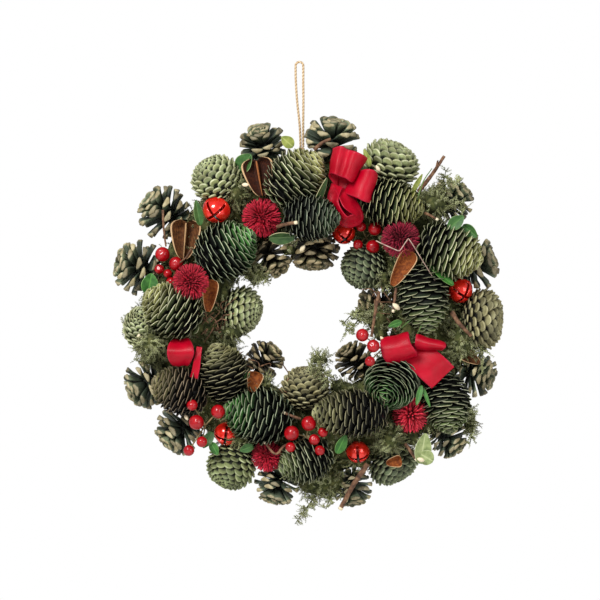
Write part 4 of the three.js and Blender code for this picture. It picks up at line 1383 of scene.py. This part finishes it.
def facing(heading, tilt, roll=0.0):
    """The turn that lays +Y along a heading and +Z to the front, after a roll about +Y."""
    ahead = direction(heading, tilt)
    side = ahead.cross(Vector((0, -1, 0))).normalized()
    lay = Matrix((side, ahead, side.cross(ahead))).transposed().to_4x4()
    return lay @ Matrix.Rotation(math.radians(roll), 4, "Y")


def make_pods():
    shades = {
        "dark": pod_finish("pod_dark", ("#2c130b", "#55280f"), "#a8683a"),
        "tan": pod_finish("pod_tan", ("#4a2a14", "#84552d"), "#d0a878"),
        "rust": pod_finish("pod_rust", ("#6b2e12", "#b4682c"), "#d0a878"),
    }
    for name, at, length, width, depth, heading, tilt, partition, shade in PODS:
        pod = shape(name + "_half", [pod_half(length, width, depth, partition)], shades[shade])
        pod.data.transform(facing(heading, tilt))
        if at is None:
            seat(pod, name)
            wear(pod, "seed_pod", name)
        else:
            put(pod, at)
            wear(pod, "seed_pod")


# Leaves: [x, depth, z] of the middle, length, width, heading, tilt, roll and shade.
LEAVES = [
    ((-26, -58, 70), 27, 14, 2, 0, 40, "olive"), ((-150, -44, 27), 21, 16, 80, 0, 10, "bright"),
    ((-62, -38, 140), 22, 17, 50, 20, -20, "green"), ((-105, -46, 93), 25, 9, 100, 10, 25, "green"),
    ((-22, -34, 160), 15, 11, 140, 10, 10, "yellow"), ((28, -58, -121), 21, 10, 65, 15, 20, "bright"),
    ((52, -48, 144), 18, 6, 110, 10, 20, "yellow"), ((98, -52, 120), 22, 5, 60, 20, 30, "yellow"),
    ((134, -60, 84), 19, 12, 40, 10, 0, "green"), ((147, -56, 76), 18, 11, 320, 10, 20, "green"),
    ((11, -62, 86), 9, 8, 90, 0, 0, "green"), ((8, -62, 92), 8, 6, 150, 0, 0, "green"),
    ((-96, -44, -118), 18, 9, 240, 10, 0, "green"), ((-90, -44, -126), 14, 8, 300, 10, 0, "bright"),
    ((100, -56, -76), 20, 5, 255, 10, 0, "bright"), ((107, -54, -78), 20, 3, 290, 10, 0, "bright"),
    ((104, -44, -126), 30, 16, 80, 0, 15, "pale"), ((107, -44, -134), 16, 14, 150, 0, 0, "pale"),
    ((121, -52, 35), 30, 9, 140, 0, 35, "bright"), ((114, -50, 39), 20, 6, 125, 0, 20, "green"),
    ((8, -62, 110), 34, 9, 66, 10, 50, "olive"), ((78, -50, -10), 14, 6, 200, 10, 0, "bright"),
    ((-62, -46, -58), 12, 5, 20, 10, 0, "green"), ((150, -36, -12), 13, 7, 60, 0, 0, "green"),
    ((112, -44, -12), 16, 6, 20, 10, 0, "yellow"), ((-60, -40, -126), 14, 8, 200, 10, 0, "green"),
]
LEAF_THICKNESS = 0.45


def leaf_finish(name, blade, vein, rim_colour):
    """Leaf, picked green and dried flat: a waxy blade, a paler midrib and a thin pale edge."""
    finish, tree, ridge, rim = start_finish(
        name, {"Roughness": 0.5, "Specular IOR Level": 0.35}, "ridge", "rim")
    mottled = add(tree, RAMP, {0: grain(tree, 5.0)}, list(zip((0.3, 0.7), blade)))
    on_rib = add(tree, RAMP, {0: ridge}, [(0.86, BLACK), (0.98, WHITE)])
    ribbed = add(tree, MIX, {0: on_rib, 6: mottled, 7: vein}, **BLENDED)
    on_rim = add(tree, RAMP, {0: rim}, [(0.92, BLACK), (0.99, WHITE)])
    edged = add(tree, MIX, {0: on_rim, 6: ribbed, 7: rim_colour}, **BLENDED)
    return end_finish(finish, edged, grain(tree, 1.5), 0.2)


def leaf_blade(length, width, curl):
    """An oval blade along +Y, creased down its midrib and curled at its tip."""
    share = np.array([-1, -0.88, -0.5, -0.12, 0, 0.12, 0.5, 0.88, 1])
    rings, rims, ridges = [], [], []
    for t in np.linspace(0.02, 0.98, 15):
        half = width / 2 * math.sin(math.pi * t ** 0.85) ** 0.75 + 0.2
        arch = curl * length * (t - 0.5) ** 2
        height = 0.28 * half * np.abs(share) ** 1.3 + arch
        top = np.stack([half * share, np.full(len(share), (t - 0.5) * length), height], 1)
        rings.append(np.concatenate([top, (top - [0, 0, LEAF_THICKNESS])[::-1]]))
        rims.append(np.tile(np.abs(share), 2))
        ridges.append(np.tile(1 - np.abs(share), 2))
    return loft(rings, rim=np.array(rims), ridge=np.array(ridges))


def make_leaves():
    shades = {
        "bright": leaf_finish("leaf_bright", ("#26561e", "#41792f"), "#57903e", "#7fa85a"),
        "green": leaf_finish("leaf_green", ("#294f20", "#456f35"), "#53793f", "#8fa56c"),
        "olive": leaf_finish("leaf_olive", ("#25421f", "#41602e"), "#587044", "#cfc99a"),
        "yellow": leaf_finish("leaf_yellow", ("#6f7d34", "#a3ab56"), "#adb468", "#b7b874"),
        "pale": leaf_finish("leaf_pale", ("#6c7c48", "#a0ab74"), "#b0b886", "#bcc298"),
    }
    for number, (at, length, width, heading, tilt, roll, shade) in enumerate(LEAVES, 1):
        leaf = shape(f"leaf_{number:02d}", [leaf_blade(length, width, 0.006 * (number % 5 - 1))],
                     shades[shade])
        leaf.data.transform(facing(heading, tilt, roll))
        put(leaf, at)
        wear(leaf, "moss")


# Twigs: [x, depth, z] along each, its radius at both ends, and whether its end is freshly cut.
TWIGS = [
    ([(101, -30, 114), (112, -40, 128), (124, -46, 146)], 2.2, 1.4, False),
    ([(112, -40, 128), (116, -44, 134), (118, -46, 142)], 1.4, 0.8, False),
    ([(3, -44, 152), (10, -46, 158), (18, -44, 162)], 2.0, 1.3, False),
    ([(63, -52, 20), (60, -54, 4), (56, -52, -22)], 1.6, 1.2, False),
    ([(79, -50, 23), (77, -54, 10), (76, -54, 2)], 1.4, 1.2, True),
    ([(131, -44, 1), (138, -48, -10), (149, -44, -21)], 2.4, 1.6, False),
    ([(53, -36, -141), (40, -34, -160), (28, -26, -183)], 2.6, 2.0, True),
    ([(-31, -60, 80), (-22, -76, 82), (-14, -81, 83)], 1.6, 1.5, True),
    ([(106, -46, 93), (112, -50, 90), (117, -50, 87)], 1.3, 1.2, True),
    ([(-10, -52, -98), (-18, -56, -95), (-25, -56, -92)], 1.3, 1.2, True),
    ([(-20, -48, -121), (-26, -50, -124), (-33, -50, -131), (-43, -48, -120)], 1.2, 1.0, True),
    ([(-138, -42, 96), (-137, -44, 78), (-135, -42, 62)], 1.2, 0.8, False),
    ([(-111, -44, 60), (-116, -46, 52), (-122, -44, 47)], 1.0, 0.8, False),
    ([(88, -40, -122), (93, -44, -129), (98, -42, -136)], 1.6, 1.4, True),
]
# The stem with peeled bark, and green stems that curl.
PALE_TWIG = [(60, -60, 67), (64, -60, 65), (79, -66, 58), (82, -66, 58), (89, -67, 68),
             (91, -67, 67), (102, -62, 50), (116, -54, 28)]
TENDRILS = [
    [(84, -48, -14), (90, -54, -8), (97, -54, -3)], [(96, -54, -3), (102, -56, -10), (98, -54, -20)],
    [(98, -50, 104), (104, -56, 122), (112, -54, 134)],
]
# Where fine roots and stems of vine show between the cones: place, spread and how many.
ROOTLETS = [((-92, -36, -6), 14, 26), ((-70, -30, 46), 14, 8), ((66, -34, 8), 12, 10),
            ((-60, -30, -54), 14, 8), ((110, -30, -60), 14, 8), ((-8, -30, -70), 14, 8)]
# Pale buds: [x, depth, z] and half their width.
BUDS = [((-61, -52, 119), 2.0), ((62, -52, 134), 2.0), ((-116, -44, -97), 1.8),
        ((79, -54, 6), 2.6), ((66, -56, -24), 1.8), ((102, -50, -136), 2.2),
        ((-8, -50, 60), 2.2), ((-160, -48, -22), 1.8)]


def make_twigs():
    # Twigs, dried with their bark on: dull and knobbly, in several browns.
    bark = plain_finish("twig_bark", ["#3a2519", "#6b4a34", "#8d6b4d"], 4.0,
                        {"Roughness": 0.85}, bump=0.4, fine=1.0)
    # Wood where it was freshly cut, and buds: cream and matt.
    wood = plain_finish("fresh_cut_wood", ["#e0cba4", "#f2e6c8"], 1.5, {"Roughness": 0.7})
    # A stem that has lost its bark: pinkish brown, a little smoother.
    peeled = plain_finish("peeled_stem", ["#8a6f62", "#c9ae9e"], 6.0, {"Roughness": 0.7})
    # Young stems, still green, with a waxy skin.
    green = plain_finish("tendril_green", ["#3f6030", "#6c8748"], 5.0, {"Roughness": 0.5})
    lines, ends = [], []
    for points, butt, end, is_cut in TWIGS:
        path = ring_curve(points, 16)
        lines.append((path, np.linspace(butt, end, 16), False))
        if is_cut:
            ahead = path[-1] - path[-2]
            ahead *= 1.3 / np.linalg.norm(ahead)
            ends.append(tube([path[-1] - ahead, path[-1] + ahead], end * 1.12, 10))
    outline = np.array([(0.3, -1.6), (0.8, -0.9), (1.0, 0), (0.75, 1.0), (0.2, 1.8)])
    for place, half in BUDS:
        bud = turned(outline * half, 10)
        ends.append(moved(bud, RING_CENTRE + place, turn_to(60 + place[0], 20)))
    for place, spread, count in ROOTLETS:
        for _ in range(count):
            start = RING_CENTRE + place + chance.uniform(-1, 1, 3) * [spread, 9, spread]
            way = chance.uniform(-1, 1, 3) * [15, 5, 15]
            bend = chance.uniform(-1, 1, 3) * [6, 4, 6]
            path = curve_through([start, start + way / 2 + bend, start + way], 8)
            lines.append((path, np.linspace(0.65, 0.35, 8), False))
    wear(rods("twigs", lines, bark, 8, 2.5, 0.9, 4), "vine")
    wear(shape("cut_ends_and_buds", ends, wood), "vine")
    stem = tube(ring_curve(PALE_TWIG, 40), np.linspace(0.55, 0.4, 40), 7)
    wear(shape("peeled_stem", [stem], peeled), "vine")
    stems = [tube(ring_curve(line, 16), np.linspace(0.8, 0.4, 16), 6) for line in TENDRILS]
    wear(shape("tendrils", stems, green), "moss")


# ------------------------------------------------------------------ the twine's turns
TWINE_X = 2.3  # where the loop leaves the ring
BED_EDGE = 36.0  # how far the moss bed reaches out from the core circle
TURN_CLEARANCE = 0.6
KNOT_RADIUS = 2.2


def make_twine_turns(jute):
    """The turns of twine round the ring where the loop leaves it, and their knot on top."""
    lean = math.asin((TWINE_X - RING_CENTRE[0]) / (CORE_RADIUS + BED_EDGE))
    outwards = np.array([math.sin(lean), 0, math.cos(lean)])
    along = np.array([math.cos(lean), 0, -math.sin(lean)])
    low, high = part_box("twine_collar")
    front, back = low.y / MM + TWINE / 2, high.y / MM - TWINE / 2
    middle, half = (front + back) / 2, (back - front) / 2
    parts = []
    for turn in (-0.5, 0.5):
        path = []
        for a in np.linspace(0, FULL_TURN, 90):
            across = (BED_EDGE + TURN_CLEARANCE + TWINE / 2) * math.cos(a)
            depth = middle - half * np.sign(math.sin(a)) * abs(math.sin(a)) ** 0.8
            path.append(RING_CENTRE + outwards * (CORE_RADIUS + across) + along * turn * TWINE
                        + np.array([0, depth, 0]))
        parts.append(laid_twine(path))
    reach = CORE_RADIUS + BED_EDGE + TURN_CLEARANCE + TWINE + KNOT_RADIUS
    top = RING_CENTRE + outwards * reach
    t = np.linspace(0, FULL_TURN, 80)
    knot = np.stack([np.sin(t) + 2 * np.sin(2 * t), -0.9 * np.sin(3 * t),
                     np.cos(t) - 2 * np.cos(2 * t)], 1) * (KNOT_RADIUS / 3)
    parts.append(laid_twine(knot * [1, 1.6, 1] + top, TWINE * 0.9))
    wear(shape("twine_turns", parts, jute), "twine", "twine_collar")


# ------------------------------------------------------------------ the wreath
set_camera()
jute = jute_finish()
make_loop(jute)
set_studio()
TREES.update(cone=cone_tree(), scatter=scatter_tree(), rod=rod_tree())
make_cones()
make_flower_heads()
make_bells()
make_berries()
make_vines()
make_moss()
make_ribbons()
make_pods()
make_leaves()
make_twigs()
make_twine_turns(jute)
